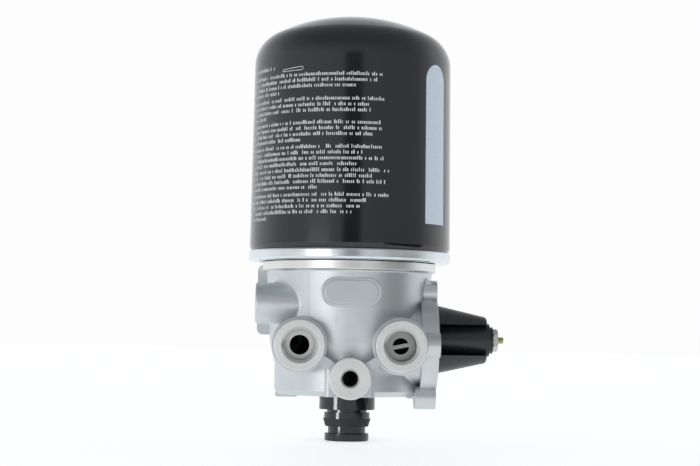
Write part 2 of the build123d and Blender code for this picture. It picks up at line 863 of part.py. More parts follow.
def passage_cuts():
    """Air passages: inlet riser, drain to the purge valve, clean air, control and tank lines."""
    outlet_top = (outlet_x, clean_passage_y, clean_passage_z)
    riser = upright(inlet_riser_radius, port_height, bowl_floor + 1, inlet_x, clean_passage_y)
    drain_start = (inlet_x, clean_passage_y, port_height)
    drain_end = (-purge_bore / 2, 0, (sleeve_seat_top + sleeve_web_bottom) / 2)
    drain = passage(drain_passage_radius, drain_start, drain_end)
    outlet_riser = upright(clean_passage_radius, port_height, clean_passage_z, outlet_x, clean_passage_y)
    clean = passage(clean_passage_radius, outlet_top, (0, 0, clean_passage_z))
    centre = upright(nipple_bore - 1, clean_passage_z, column_top, 0, 0)
    control_start = (diaphragm_seat - pressure_chamber_depth + 1, flange_y + 9, governor_z - 9)
    control_end = (control_chamber_radius / 2, 0, control_chamber_top - 2)
    control = passage(control_passage_radius, control_start, control_end)
    sense_start = (outlet_x, clean_passage_y, governor_z + 3)
    sense_end = (diaphragm_seat - pressure_chamber_depth + 1, clean_passage_y, governor_z + 3)
    sense = passage(control_passage_radius, sense_start, sense_end)
    tank = passage(tank_passage_radius, tank_line()[0], tank_line()[1])
    return [riser, drain, outlet_riser, clean, centre, control, sense, tank]


def tank_line():
    """Ends of the slanted passage between the tank port and the clean-air riser."""
    start = (0, port_face + tank_thread_depth + tank_hole_depth, tank_port_height)
    end = (outlet_x, clean_passage_y, port_height)
    return start, end


def fixing_cuts():
    """Tapped holes in the flange's lobes and in the rear lugs."""
    cuts = []
    for y, z in lobe_centres():
        cuts.append(along_x(lobe_thread_radius, flange_face - lobe_thread_depth, flange_face + 1, y, z))
    for x, z in lug_centres():
        cuts.append(along_y(lug_thread_radius, lug_face - lug_thread_depth, lug_face + 1, x, z))
    return cuts


def regeneration_nozzle():
    """Brass jet with a fine hole, pressed into the slanted tank passage."""
    start, end = tank_line()
    run = Vector(*end) - Vector(*start)
    middle = Vector(*start) + run * 0.5
    jet = Cylinder(tank_passage_radius - press_clearance, nozzle_length)
    jet -= Cylinder(nozzle_hole, nozzle_length + 2)
    return Plane(origin=middle, z_dir=run) * jet


def check_valve_guide():
    """Disc at the bottom of port 21 with a round window and a slanted bar across it."""
    disc = along_y(guide_radius, thread_end_y, guide_back_y, outlet_x, port_height)
    disc -= along_y(guide_window, thread_end_y - 1, guide_back_y + 1, outlet_x, port_height)
    bar = Box(2 * guide_window + 1, guide_thickness, guide_bar_width)
    middle = (thread_end_y + guide_back_y) / 2
    return disc + Pos(outlet_x, middle, port_height) * Rot(0, -guide_bar_angle, 0) * bar


def check_valve_disc():
    """Cup whose floor closes the seat, with four flats that let the air past."""
    radius = valve_chamber_radius - running_clearance
    floor = check_seat_y - rest_gap
    front = floor - check_disc_length
    cup = along_y(radius, front, floor, outlet_x, port_height)
    cup -= along_y(radius - 1.0, front - 1, front + check_disc_recess, outlet_x, port_height)
    half = radius + 1
    flat = block((check_disc_flat, half), (front - 1, floor + 1), (-half, half))
    for turn in range(4):
        cup -= Pos(outlet_x, 0, port_height) * Rot(0, 90 * turn, 0) * flat
    return cup


def check_valve_spring():
    """Light spring that holds the check valve on its seat."""
    start = guide_back_y + spring_end_gap
    end = check_seat_y - rest_gap - check_disc_length + check_disc_recess - spring_end_gap
    spring = coil(check_spring_radius, check_spring_wire, 0, end - start, check_spring_turns)
    return Pos(outlet_x, start, port_height) * Rot(-90, 0, 0) * spring


def cover_lobes():
    """The cover's cone, cut by a channel on both sides that leaves an upper and a lower lobe."""
    cone = turned_on_x(
        [
            (0, flange_face - cover_rim),
            (cover_base_radius, flange_face - cover_rim),
            (cover_base_radius, flange_face),
            (cover_end_radius, cover_end_x),
            (0, cover_end_x),
        ],
        flange_y,
        governor_z,
    )
    rims = cone.edges().filter_by(GeomType.CIRCLE).sort_by(Axis.X)
    cone = fillet(rims[-1], cover_end_rounding)
    start = flange_face + cover_rim
    reach = cover_base_radius + 1
    low = governor_z - cover_channel_half
    high = governor_z + cover_channel_half
    front = block((start, cover_end_x + 1), (flange_y - reach, flange_y), (low, high))
    back = block((start, cover_end_x + 1), (flange_y, flange_y + reach), (low, high))
    lobes = cone - front - back
    return lobes


def governor_cover():
    """Two conical lobes on a round core, hollow for the spring, with a spigot in the housing."""
    spigot = governor_bore - screw_clearance
    cavity_end = cover_boss_end - cover_end_wall
    mouth_end = cover_spigot_end + cover_mouth_depth + 1.0
    core = turned_on_x(
        [
            (0, cover_spigot_end),
            (spigot, cover_spigot_end),
            (spigot, flange_face - cover_rim / 2),
            (cover_core_radius, flange_face - cover_rim / 2),
            (cover_core_radius, cover_core_end),
            (cover_boss_radius, cover_core_end),
            (cover_boss_radius, cover_boss_end),
            (0, cover_boss_end),
        ],
        flange_y,
        governor_z,
    )
    hollow = turned_on_x(
        [
            (0, cover_spigot_end - 1),
            (cover_mouth_radius, cover_spigot_end - 1),
            (cover_mouth_radius, cover_spigot_end + cover_mouth_depth),
            (cover_bore, mouth_end),
            (cover_bore, cavity_end),
            (0, cavity_end),
        ],
        flange_y,
        governor_z,
    )
    hole_radius = adjusting_screw_radius + screw_clearance
    hole = along_x(hole_radius, cavity_end - 1, cover_boss_end + 1, flange_y, governor_z)
    return cover_lobes() + core - hollow - hole


def adjusting_screw():
    """Set screw that loads the governor spring, with a turned-down tip."""
    nut_end = cover_boss_end + lock_nut_thickness
    shank_start = spring_plate_x + spring_plate_thickness
    shank = along_x(adjusting_screw_radius, shank_start, nut_end, flange_y, governor_z)
    tip = along_x(screw_tip_radius, nut_end - 1, nut_end + screw_tip_length, flange_y, governor_z)
    return shank + tip


def lock_nut():
    """Hexagon nut that locks the adjusting screw."""
    corner_radius = lock_nut_flats / sqrt(3)
    nut = extrude(RegularPolygon(corner_radius, 6), lock_nut_thickness)
    nut -= Cylinder(adjusting_screw_radius + screw_clearance, 3 * lock_nut_thickness)
    return Pos(cover_boss_end, flange_y, governor_z) * Rot(0, 90, 0) * nut


def governor_spring_plate():
    """Steel cup between the governor spring and the adjusting screw."""
    radius = cover_bore - screw_clearance
    return along_x(radius, spring_plate_x, spring_plate_x + spring_plate_thickness, flange_y, governor_z)


def governor_spring():
    """Spring that sets the governor's cut-out pressure."""
    start = spring_seat_x + rest_gap
    end = spring_plate_x - spring_end_gap
    spring = coil(governor_spring_radius, governor_spring_wire, 0, end - start, governor_spring_turns)
    return Pos(start, flange_y, governor_z) * Rot(0, 90, 0) * spring


def governor_diaphragm():
    """Rubber disc clamped at its rim between the housing and the cover."""
    return along_x(diaphragm_radius, diaphragm_seat, cover_spigot_end, flange_y, governor_z)


def diaphragm_plate():
    """Pressed plate on the diaphragm, which carries the governor spring."""
    start = cover_spigot_end
    end = start + diaphragm_plate_thickness
    plate = along_x(diaphragm_plate_radius, start, end, flange_y, governor_z)
    locator_radius = governor_spring_radius - governor_spring_wire - rest_gap
    locator = along_x(locator_radius, end, end + 3.0, flange_y, governor_z)
    return plate + locator


def governor_valve_stem():
    """Pilot valve stem behind the diaphragm, running in the housing."""
    start = diaphragm_seat - pressure_chamber_depth - stem_bore_depth + 3.0
    stem = along_x(stem_radius, start, diaphragm_seat, flange_y, governor_z)
    head = along_x(stem_radius + 3.4, diaphragm_seat - 1.6, diaphragm_seat, flange_y, governor_z)
    return stem + head


def purge_valve_sleeve():
    """Insert with the purge piston's bore, the stem's guide, the side windows and the seat."""
    radius = purge_bore - screw_clearance
    groove = radius - sleeve_groove_depth
    profile = [
        (purge_seat_radius, sleeve_bottom),
        (radius, sleeve_bottom),
        (radius, sleeve_seat_top),
        (groove, sleeve_seat_top),
        (groove, sleeve_web_bottom),
        (radius, sleeve_web_bottom),
        (radius, purge_top),
        (purge_piston_bore, purge_top),
        (purge_piston_bore, sleeve_web_top),
        (purge_stem_radius + running_clearance, sleeve_web_top),
        (purge_stem_radius + running_clearance, sleeve_web_bottom),
        (purge_piston_bore, sleeve_web_bottom),
        (purge_piston_bore, sleeve_seat_top),
        (purge_seat_radius, sleeve_seat_top),
    ]
    sleeve = turned(profile)
    middle = (sleeve_seat_top + sleeve_web_bottom) / 2
    for index in range(sleeve_window_count // 2):
        window = Cylinder(sleeve_window_radius, 2 * purge_bore + 2)
        turn = 360 / sleeve_window_count * index
        sleeve -= Pos(0, 0, middle) * Rot(0, 0, turn) * Rot(0, 90, 0) * window
    return sleeve


def purge_valve_piston():
    """Piston with an O-ring groove and a stem that pushes the purge valve open."""
    radius = purge_piston_bore - running_clearance
    top = purge_top - rest_gap
    bottom = top - purge_piston_thickness
    middle = (top + bottom) / 2
    groove = purge_piston_bore - 2 * o_ring_section - press_clearance
    reach = o_ring_section + groove_play
    disc_bottom = sleeve_bottom - rest_gap - purge_disc_thickness
    profile = [
        (0, disc_bottom - 2.0),
        (purge_stem_radius - 0.6, disc_bottom - 2.0),
        (purge_stem_radius - 0.6, sleeve_bottom - rest_gap),
        (purge_stem_radius, sleeve_bottom - rest_gap),
        (purge_stem_radius, bottom),
        (radius, bottom),
        (radius, middle - reach),
        (groove, middle - reach),
        (groove, middle + reach),
        (radius, middle + reach),
        (radius, top),
        (0, top),
    ]
    return turned(profile)


def purge_piston_o_ring():
    """O-ring on the purge piston."""
    middle = purge_top - rest_gap - purge_piston_thickness / 2
    radius = purge_piston_bore - o_ring_section - press_clearance
    return torus_about_z(o_ring_section - press_clearance, radius, middle)


def purge_valve_disc():
    """Valve disc on the stem's end, which closes the seat from below."""
    top = sleeve_bottom - rest_gap
    hole = purge_stem_radius - 0.6 + press_clearance
    return ring(hole, purge_disc_radius, top - purge_disc_thickness, top)


def purge_valve_spring():
    """Spring that holds the purge valve closed."""
    top = sleeve_bottom - rest_gap - purge_disc_thickness - spring_end_gap
    bottom = vent_web_top + spring_end_gap
    return coil(purge_spring_radius, purge_spring_wire, bottom, top, purge_spring_turns)


def vent_connector():
    """Moulded spigot: wide head in the casting, neck, flange, groove and rounded foot."""
    groove_floor = vent_radius - 2 * o_ring_section + screw_clearance - press_clearance
    o_low = vent_o_ring_height - o_ring_section - groove_play
    o_high = vent_o_ring_height + o_ring_section + groove_play
    ring_floor = vent_radius - vent_ring_depth
    ring_top = vent_ring_height + vent_ring_width
    profile = [
        (vent_bore, 0),
        (vent_foot_radius, 0),
        (vent_foot_radius, vent_foot_height),
        (vent_groove_radius, vent_foot_height),
        (vent_groove_radius, vent_flange_bottom),
        (vent_flange_radius, vent_flange_bottom),
        (vent_flange_radius, vent_flange_top),
        (vent_neck_radius, vent_flange_top),
        (vent_neck_radius, vent_shoulder),
        (vent_radius, vent_shoulder),
        (vent_radius, vent_ring_height),
        (ring_floor, vent_ring_height),
        (ring_floor, ring_top),
        (vent_radius, ring_top),
        (vent_radius, o_low),
        (groove_floor, o_low),
        (groove_floor, o_high),
        (vent_radius, o_high),
        (vent_radius, sleeve_bottom),
        (vent_cavity_radius, sleeve_bottom),
        (vent_cavity_radius, vent_web_top),
        (vent_web_hole, vent_web_top),
        (vent_web_hole, vent_web_bottom),
        (vent_bore, vent_web_bottom),
    ]
    body = turned(profile)
    rounded = [e for e in body.edges().filter_by(GeomType.CIRCLE) if is_outer_corner(e)]
    return fillet(rounded, vent_rounding)


def is_outer_corner(edge):
    """True for the two outer rims of the vent connector's foot."""
    at_foot = edge.center().Z < vent_foot_height + 0.1
    return at_foot and abs(edge.radius - vent_foot_radius) < 0.01


def vent_seal_ring():
    """Tapered rubber ring in the connector's groove."""
    profile = [
        (vent_groove_radius, seal_bottom),
        (seal_bottom_radius, seal_bottom),
        (seal_top_radius, vent_flange_bottom),
        (vent_groove_radius, vent_flange_bottom),
    ]
    return turned(profile)


def vent_retaining_ring():
    """Ring that locks the vent connector in the casting, half in each groove."""
    inner = vent_radius - vent_ring_depth
    outer = vent_radius + screw_clearance + vent_ring_depth
    full = ring(inner, outer, vent_ring_height, vent_ring_height + vent_ring_width)
    gap = block((-4, 4), (0, outer + 1), (vent_ring_height - 1, vent_ring_height + 3))
    return full - gap


def vent_o_ring():
    """O-ring between the vent connector and the casting."""
    radius = vent_radius + screw_clearance - o_ring_section
    return torus_about_z(o_ring_section, radius, vent_o_ring_height)


pieces = {
    "cartridge_can": cartridge_can(),
    "seam_lid": seam_lid(),
    "base_plate": base_plate(),
    "cartridge_gasket": cartridge_gasket(),
    "hub_o_ring": hub_o_ring(),
    "desiccant_canister": desiccant_canister(),
    "lower_perforated_plate": perforated_plate(lower_plate_bottom),
    "lower_fleece": bed_disc(lower_fleece_bottom, fleece_thickness),
    "desiccant_bed": bed_disc(bed_bottom, bed_depth),
    "upper_fleece": bed_disc(upper_fleece_bottom, fleece_thickness),
    "upper_perforated_plate": perforated_plate(upper_plate_bottom),
    "bed_spring": bed_spring(),
    "prefilter_ring": prefilter_ring(),
    "cartridge_nipple": cartridge_nipple(),
    "valve_housing": valve_housing(),
    "regeneration_nozzle": regeneration_nozzle(),
    "check_valve_guide": check_valve_guide(),
    "check_valve_disc": check_valve_disc(),
    "check_valve_spring": check_valve_spring(),
    "governor_cover": governor_cover(),
    "adjusting_screw": adjusting_screw(),
    "lock_nut": lock_nut(),
    "governor_spring_plate": governor_spring_plate(),
    "governor_spring": governor_spring(),
    "governor_diaphragm": governor_diaphragm(),
    "diaphragm_plate": diaphragm_plate(),
    "governor_valve_stem": governor_valve_stem(),
    "purge_valve_sleeve": purge_valve_sleeve(),
    "purge_valve_piston": purge_valve_piston(),
    "purge_piston_o_ring": purge_piston_o_ring(),
    "purge_valve_disc": purge_valve_disc(),
    "purge_valve_spring": purge_valve_spring(),
    "vent_connector": vent_connector(),
    "vent_seal_ring": vent_seal_ring(),
    "vent_retaining_ring": vent_retaining_ring(),
    "vent_o_ring": vent_o_ring(),
}

os.makedirs("parts", exist_ok=True)
for name, piece in pieces.items():
    piece.label = name
    export_step(piece, f"parts/{name}.step")
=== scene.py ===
import bpy
import json
import math
import numpy as np
from mathutils import Matrix, Vector


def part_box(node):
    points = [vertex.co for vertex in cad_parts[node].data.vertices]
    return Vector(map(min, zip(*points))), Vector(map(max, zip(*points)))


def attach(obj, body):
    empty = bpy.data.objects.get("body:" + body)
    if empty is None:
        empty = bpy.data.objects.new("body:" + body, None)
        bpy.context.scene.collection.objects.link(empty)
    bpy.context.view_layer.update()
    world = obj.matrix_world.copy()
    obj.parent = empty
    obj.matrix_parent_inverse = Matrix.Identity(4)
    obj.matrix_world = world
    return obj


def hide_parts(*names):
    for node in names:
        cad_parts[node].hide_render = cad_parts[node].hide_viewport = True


# Looks of a vehicle air dryer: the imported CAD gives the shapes, this script gives them
# their finishes and adds the print, the threads, the cast numbers and the fasteners.

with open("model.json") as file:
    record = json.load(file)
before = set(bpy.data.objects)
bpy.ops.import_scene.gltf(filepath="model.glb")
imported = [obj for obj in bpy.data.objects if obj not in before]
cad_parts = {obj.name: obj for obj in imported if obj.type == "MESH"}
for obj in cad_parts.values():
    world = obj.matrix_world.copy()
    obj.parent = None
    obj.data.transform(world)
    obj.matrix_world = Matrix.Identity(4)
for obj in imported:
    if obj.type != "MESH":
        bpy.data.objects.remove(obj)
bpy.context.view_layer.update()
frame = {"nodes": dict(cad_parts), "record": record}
mm = 0.001
nodes = frame["nodes"]
mounts = {mount["name"]: mount for mount in frame["record"]["mounts"]}
print("frame loaded,", len(nodes), "nodes")


# Small helpers

def linearColour(hexText):
    # sRGB hex to linear RGBA: c/12.92 below 0.04045, else ((c + 0.055)/1.055)^2.4
    value = np.array([int(hexText[i:i + 2], 16) for i in (1, 3, 5)]) / 255
    linear = np.where(value <= 0.04045, value / 12.92, ((value + 0.055) / 1.055) ** 2.4)
    return (*[float(c) for c in linear], 1.0)


def addNode(tree, kind, inputs=None, **settings):
    # one node, its settings, and for each input either a link or a plain value
    node = tree.nodes.new(kind)
    for name, value in settings.items():
        setattr(node, name, value)
    for key, value in (inputs or {}).items():
        if isinstance(value, bpy.types.NodeSocket):
            tree.links.new(value, node.inputs[key])
        else:
            node.inputs[key].default_value = value
    return node


def newMaterial(name):
    material = bpy.data.materials.new(name)
    material.use_nodes = True
    material.node_tree.nodes.clear()
    return material


def finishMaterial(material, shaderInputs):
    # the shader and the output, with whatever the material's own nodes feed in
    tree = material.node_tree
    shader = addNode(tree, "ShaderNodeBsdfPrincipled", shaderInputs)
    addNode(tree, "ShaderNodeOutputMaterial", {"Surface": shader.outputs[0]})
    return material


def meshPiece(name, points, faces, body, material, smooth=True):
    # points (N, 3) in metres and faces become one object that rides on a body
    mesh = bpy.data.meshes.new(name)
    mesh.from_pydata(points.tolist(), [], faces.tolist() if hasattr(faces, "tolist") else faces)
    mesh.validate()
    mesh.shade_smooth() if smooth else mesh.shade_flat()
    piece = bpy.data.objects.new(name, mesh)
    bpy.context.scene.collection.objects.link(piece)
    mesh.materials.append(material)
    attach(piece, body)
    return piece


def gridFaces(rows, columns, closeRows=False, closeColumns=False):
    # quads of a rows x columns grid, wrapped where a direction closes on itself
    i = np.arange(rows if closeRows else rows - 1)
    j = np.arange(columns if closeColumns else columns - 1)
    i, j = np.meshgrid(i, j, indexing="ij")
    nextI, nextJ = (i + 1) % rows, (j + 1) % columns
    quads = np.stack([i * columns + j, nextI * columns + j,
                      nextI * columns + nextJ, i * columns + nextJ], -1)
    return quads.reshape(-1, 4)


def axisFrame(axis):
    # two unit vectors that make a right-handed frame with the axis
    axis = np.array(axis, float)
    side = np.cross(axis, (0, 0, 1)) if abs(axis[2]) < 0.9 else np.array((1.0, 0, 0))
    side = side / np.linalg.norm(side)
    return side, np.cross(axis, side), axis


# Materials

canPaintValues = dict(colour="#141517", speckColour="#1D1E20", roughness=0.16, peelSize=1.4, peelHeight=0.012)


def canPaint():
    # Baked enamel, sprayed on deep-drawn steel: deep gloss with a faint orange peel
    v = canPaintValues
    material = newMaterial("bakedBlackEnamel")
    tree = material.node_tree
    place = addNode(tree, "ShaderNodeTexCoord").outputs["Object"]
    peel = addNode(tree, "ShaderNodeTexNoise", {"Vector": place, "Scale": 1000 / v["peelSize"], "Detail": 1.0})
    cloud = addNode(tree, "ShaderNodeTexNoise", {"Vector": place, "Scale": 1000 / 35, "Detail": 3.0})
    colour = addNode(tree, "ShaderNodeMix", {0: cloud.outputs[0], 6: linearColour(v["colour"]),
                                             7: linearColour(v["speckColour"])}, data_type="RGBA")
    gloss = addNode(tree, "ShaderNodeMapRange", {0: cloud.outputs[0], 3: v["roughness"] - 0.03,
                                                 4: v["roughness"] + 0.05})
    bump = addNode(tree, "ShaderNodeBump", {"Height": peel.outputs[0], "Strength": 0.35,
                                            "Distance": v["peelHeight"] * mm})
    return finishMaterial(material, {"Base Color": colour.outputs[2], "Roughness": gloss.outputs[0],
                                     "IOR": 1.5, "Coat Weight": 0.35, "Coat Roughness": 0.05,
                                     "Normal": bump.outputs[0]})


zincValues = dict(colour="#E9EFF0", shade="#DAE2E4", roughness=0.21, scratchSize=0.5)


def zincSheet():
    # Bright zinc plate on rolled sheet: silvery, a little blue, with drawing lines round the axis
    v = zincValues
    material = newMaterial("brightZincPlate")
    tree = material.node_tree
    place = addNode(tree, "ShaderNodeTexCoord").outputs["Object"]
    # lines run round Z, so the noise is squeezed along Z and stretched across it
    squeezed = addNode(tree, "ShaderNodeMapping", {"Vector": place, "Scale": (0.03, 0.03, 1.0)})
    lines = addNode(tree, "ShaderNodeTexNoise", {"Vector": squeezed.outputs[0], "Scale": 1000 / v["scratchSize"],
                                                 "Detail": 3.0})
    cloud = addNode(tree, "ShaderNodeTexNoise", {"Vector": place, "Scale": 1000 / 9, "Detail": 4.0})
    colour = addNode(tree, "ShaderNodeMix", {0: cloud.outputs[0], 6: linearColour(v["colour"]),
                                             7: linearColour(v["shade"])}, data_type="RGBA")
    rough = addNode(tree, "ShaderNodeMapRange", {0: lines.outputs[0], 3: v["roughness"] - 0.05,
                                                 4: v["roughness"] + 0.1})
    bump = addNode(tree, "ShaderNodeBump", {"Height": lines.outputs[0], "Strength": 0.25, "Distance": 0.02 * mm})
    return finishMaterial(material, {"Base Color": colour.outputs[2], "Metallic": 1.0,
                                     "Roughness": rough.outputs[0], "Normal": bump.outputs[0]})


# painted shade in the cored passages of ports 1 and 22: their walls are coloured near-black to stand for the shade
# deep in the holes: mount, radius, where it starts and ends on Y, in mm
shadedPassages = (("port_1", 6.7, -47.5, -8.0), ("port_22", 5.3, -60.3, -25.0))
castValues = dict(
    # passageShade is the near-black painted into the cored passages to stand for their shade
    colour="#DBDFE0", dark="#CACFD2", machined="#E8E9E6", passageShade="#26282A",
    roughness=0.42, machinedRoughness=0.36, grainSize=0.55, grainHeight=0.05,
    # machined past these places, in mm
    collarHeight=114.2, portFace=-61.9, flangeFace=58.2, lugFace=55.9,
    # a port's bore is machined out to boreShare of its thread's radius, as deep as boreFloor on Y
    boreShare=1.19, boreFloor=-30.0,
    # turning marks: the tool's feed, drawn coarser than it is, and how far from the axis they reach
    turningPitch=0.55, turningReach=18.0)


def castAluminium():
    # Blasted die-cast aluminium with machined faces: matt, pale blue-grey skin, brighter neutral cuts.
    # Machined where z is over the collar's underside, y is before the port face, x is past the flange
    # face or y is past the lug face, each from Object coordinates.
    v = castValues
    material = newMaterial("blastedDieCastAluminium")
    tree = material.node_tree
    place = addNode(tree, "ShaderNodeTexCoord").outputs["Object"]
    axes = addNode(tree, "ShaderNodeSeparateXYZ", {0: place})
    x, y, z = axes.outputs
    front = addNode(tree, "ShaderNodeMath", {0: y, 1: v["portFace"] * mm}, operation="LESS_THAN").outputs[0]
    back = addNode(tree, "ShaderNodeMath", {0: y, 1: v["lugFace"] * mm}, operation="GREATER_THAN").outputs[0]
    right = addNode(tree, "ShaderNodeMath", {0: x, 1: v["flangeFace"] * mm}, operation="GREATER_THAN").outputs[0]
    top = addNode(tree, "ShaderNodeMath", {0: z, 1: v["collarHeight"] * mm}, operation="GREATER_THAN").outputs[0]
    cut = addNode(tree, "ShaderNodeMath", {0: front, 1: back}, operation="MAXIMUM").outputs[0]
    cut = addNode(tree, "ShaderNodeMath", {0: cut, 1: right}, operation="MAXIMUM").outputs[0]
    cut = addNode(tree, "ShaderNodeMath", {0: cut, 1: top}, operation="MAXIMUM").outputs[0]
    for name in ("port_1", "port_21", "port_22"):
        # the bore and its mouth: near the port's axis and in front of the bore's floor
        port = mounts[name]
        centre = port["pos_m"]
        flat = addNode(tree, "ShaderNodeCombineXYZ", {0: x, 2: z})
        away = addNode(tree, "ShaderNodeVectorMath", {0: flat.outputs[0], 1: (centre[0], 0, centre[2])},
                       operation="DISTANCE").outputs["Value"]
        near = addNode(tree, "ShaderNodeMath", {0: away, 1: port["dims"]["r_mm"] * v["boreShare"] * mm},
                       operation="LESS_THAN").outputs[0]
        deep = addNode(tree, "ShaderNodeMath", {0: y, 1: v["boreFloor"] * mm}, operation="LESS_THAN").outputs[0]
        bore = addNode(tree, "ShaderNodeMath", {0: near, 1: deep}, operation="MULTIPLY").outputs[0]
        cut = addNode(tree, "ShaderNodeMath", {0: cut, 1: bore}, operation="MAXIMUM").outputs[0]
        # turning marks: rings round the port, one wave for each pitch of the radius
        wave = addNode(tree, "ShaderNodeMath", {0: away, 1: 2 * math.pi / (v["turningPitch"] * mm)},
                       operation="MULTIPLY").outputs[0]
        wave = addNode(tree, "ShaderNodeMath", {0: wave}, operation="SINE").outputs[0]
        reach = addNode(tree, "ShaderNodeMath", {0: away, 1: v["turningReach"] * mm}, operation="LESS_THAN").outputs[0]
        wave = addNode(tree, "ShaderNodeMath", {0: wave, 1: reach}, operation="MULTIPLY").outputs[0]
        turning = wave if name == "port_1" else addNode(
            tree, "ShaderNodeMath", {0: turning, 1: wave}, operation="ADD").outputs[0]
    # painted shade: inside each passage, between its start and end on Y, the cast colour gives way to near-black
    for name, radius, start, end in shadedPassages:
        centre = mounts[name]["pos_m"]
        away = addNode(tree, "ShaderNodeVectorMath", {0: flat.outputs[0], 1: (centre[0], 0, centre[2])},
                       operation="DISTANCE").outputs["Value"]
        near = addNode(tree, "ShaderNodeMath", {0: away, 1: radius * mm}, operation="LESS_THAN").outputs[0]
        deep = addNode(tree, "ShaderNodeMath", {0: y, 1: start * mm}, operation="GREATER_THAN").outputs[0]
        short = addNode(tree, "ShaderNodeMath", {0: y, 1: end * mm}, operation="LESS_THAN").outputs[0]
        inside = addNode(tree, "ShaderNodeMath", {0: near, 1: deep}, operation="MULTIPLY").outputs[0]
        inside = addNode(tree, "ShaderNodeMath", {0: inside, 1: short}, operation="MULTIPLY").outputs[0]
        paintedShade = inside if name == "port_1" else addNode(
            tree, "ShaderNodeMath", {0: paintedShade, 1: inside}, operation="MAXIMUM").outputs[0]
    cloud = addNode(tree, "ShaderNodeTexNoise", {"Vector": place, "Scale": 1000 / 14, "Detail": 4.0})
    grain = addNode(tree, "ShaderNodeTexNoise", {"Vector": place, "Scale": 1000 / v["grainSize"], "Detail": 2.0})
    skin = addNode(tree, "ShaderNodeMix", {0: cloud.outputs[0], 6: linearColour(v["dark"]),
                                           7: linearColour(v["colour"])}, data_type="RGBA")
    colour = addNode(tree, "ShaderNodeMix", {0: cut, 6: skin.outputs[2], 7: linearColour(v["machined"])},
                     data_type="RGBA")
    # the passages' painted shade goes over the cast and machined colour
    colour = addNode(tree, "ShaderNodeMix", {0: paintedShade, 6: colour.outputs[2], 7: linearColour(v["passageShade"])},
                     data_type="RGBA")
    rough = addNode(tree, "ShaderNodeMapRange", {0: cut, 3: v["roughness"], 4: v["machinedRoughness"]})
    height = addNode(tree, "ShaderNodeMix", {0: cut, 2: grain.outputs[0], 3: turning})
    bump = addNode(tree, "ShaderNodeBump", {"Height": height.outputs[0], "Strength": 0.3,
                                            "Distance": v["grainHeight"] * mm})
    return finishMaterial(material, {"Base Color": colour.outputs[2], "Metallic": 1.0,
                                     "Roughness": rough.outputs[0], "Normal": bump.outputs[0]})


def mouldedPlastic(name, colour, roughness, grainSize, grainHeight):
    # injection-moulded thermoplastic: the tool's fine texture shows as a soft grain
    material = newMaterial(name)
    tree = material.node_tree
    place = addNode(tree, "ShaderNodeTexCoord").outputs["Object"]
    grain = addNode(tree, "ShaderNodeTexNoise", {"Vector": place, "Scale": 1000 / grainSize, "Detail": 2.0})
    cloud = addNode(tree, "ShaderNodeTexNoise", {"Vector": place, "Scale": 1000 / 12, "Detail": 3.0})
    rough = addNode(tree, "ShaderNodeMapRange", {0: cloud.outputs[0], 3: roughness * 0.85, 4: roughness * 1.2})
    bump = addNode(tree, "ShaderNodeBump", {"Height": grain.outputs[0], "Strength": 0.3,
                                            "Distance": grainHeight * mm})
    return finishMaterial(material, {"Base Color": linearColour(colour), "Roughness": rough.outputs[0],
                                     "IOR": 1.53, "Normal": bump.outputs[0]})


def plainMetal(name, light, dark, roughness, markSize, markStretch):
    # turned, drawn or pressed metal: fine marks stretched the way the tool ran
    material = newMaterial(name)
    tree = material.node_tree
    place = addNode(tree, "ShaderNodeTexCoord").outputs["Object"]
    stretched = addNode(tree, "ShaderNodeMapping", {"Vector": place, "Scale": markStretch})
    marks = addNode(tree, "ShaderNodeTexNoise", {"Vector": stretched.outputs[0], "Scale": 1000 / markSize,
                                                 "Detail": 3.0})
    cloud = addNode(tree, "ShaderNodeTexNoise", {"Vector": place, "Scale": 1000 / 5, "Detail": 3.0})
    colour = addNode(tree, "ShaderNodeMix", {0: cloud.outputs[0], 6: linearColour(dark), 7: linearColour(light)},
                     data_type="RGBA")
    rough = addNode(tree, "ShaderNodeMapRange", {0: marks.outputs[0], 3: roughness * 0.8, 4: roughness * 1.25})
    bump = addNode(tree, "ShaderNodeBump", {"Height": marks.outputs[0], "Strength": 0.25, "Distance": 0.02 * mm})
    return finishMaterial(material, {"Base Color": colour.outputs[2], "Metallic": 1.0,
                                     "Roughness": rough.outputs[0], "Normal": bump.outputs[0]})


def softMaterial(name, light, dark, roughness, grainSize, grainHeight, sheen=0.0):
    # rubber, felt or bead bed: a dull body whose grain is a cell pattern
    material = newMaterial(name)
    tree = material.node_tree
    place = addNode(tree, "ShaderNodeTexCoord").outputs["Object"]
    cells = addNode(tree, "ShaderNodeTexVoronoi", {"Vector": place, "Scale": 1000 / grainSize})
    colour = addNode(tree, "ShaderNodeMix", {0: cells.outputs["Distance"], 6: linearColour(light),
                                             7: linearColour(dark)}, data_type="RGBA")
    bump = addNode(tree, "ShaderNodeBump", {"Height": cells.outputs["Distance"], "Strength": 0.4,
                                            "Distance": grainHeight * mm}, invert=True)
    return finishMaterial(material, {"Base Color": colour.outputs[2], "Roughness": roughness,
                                     "Sheen Weight": sheen, "Normal": bump.outputs[0]})


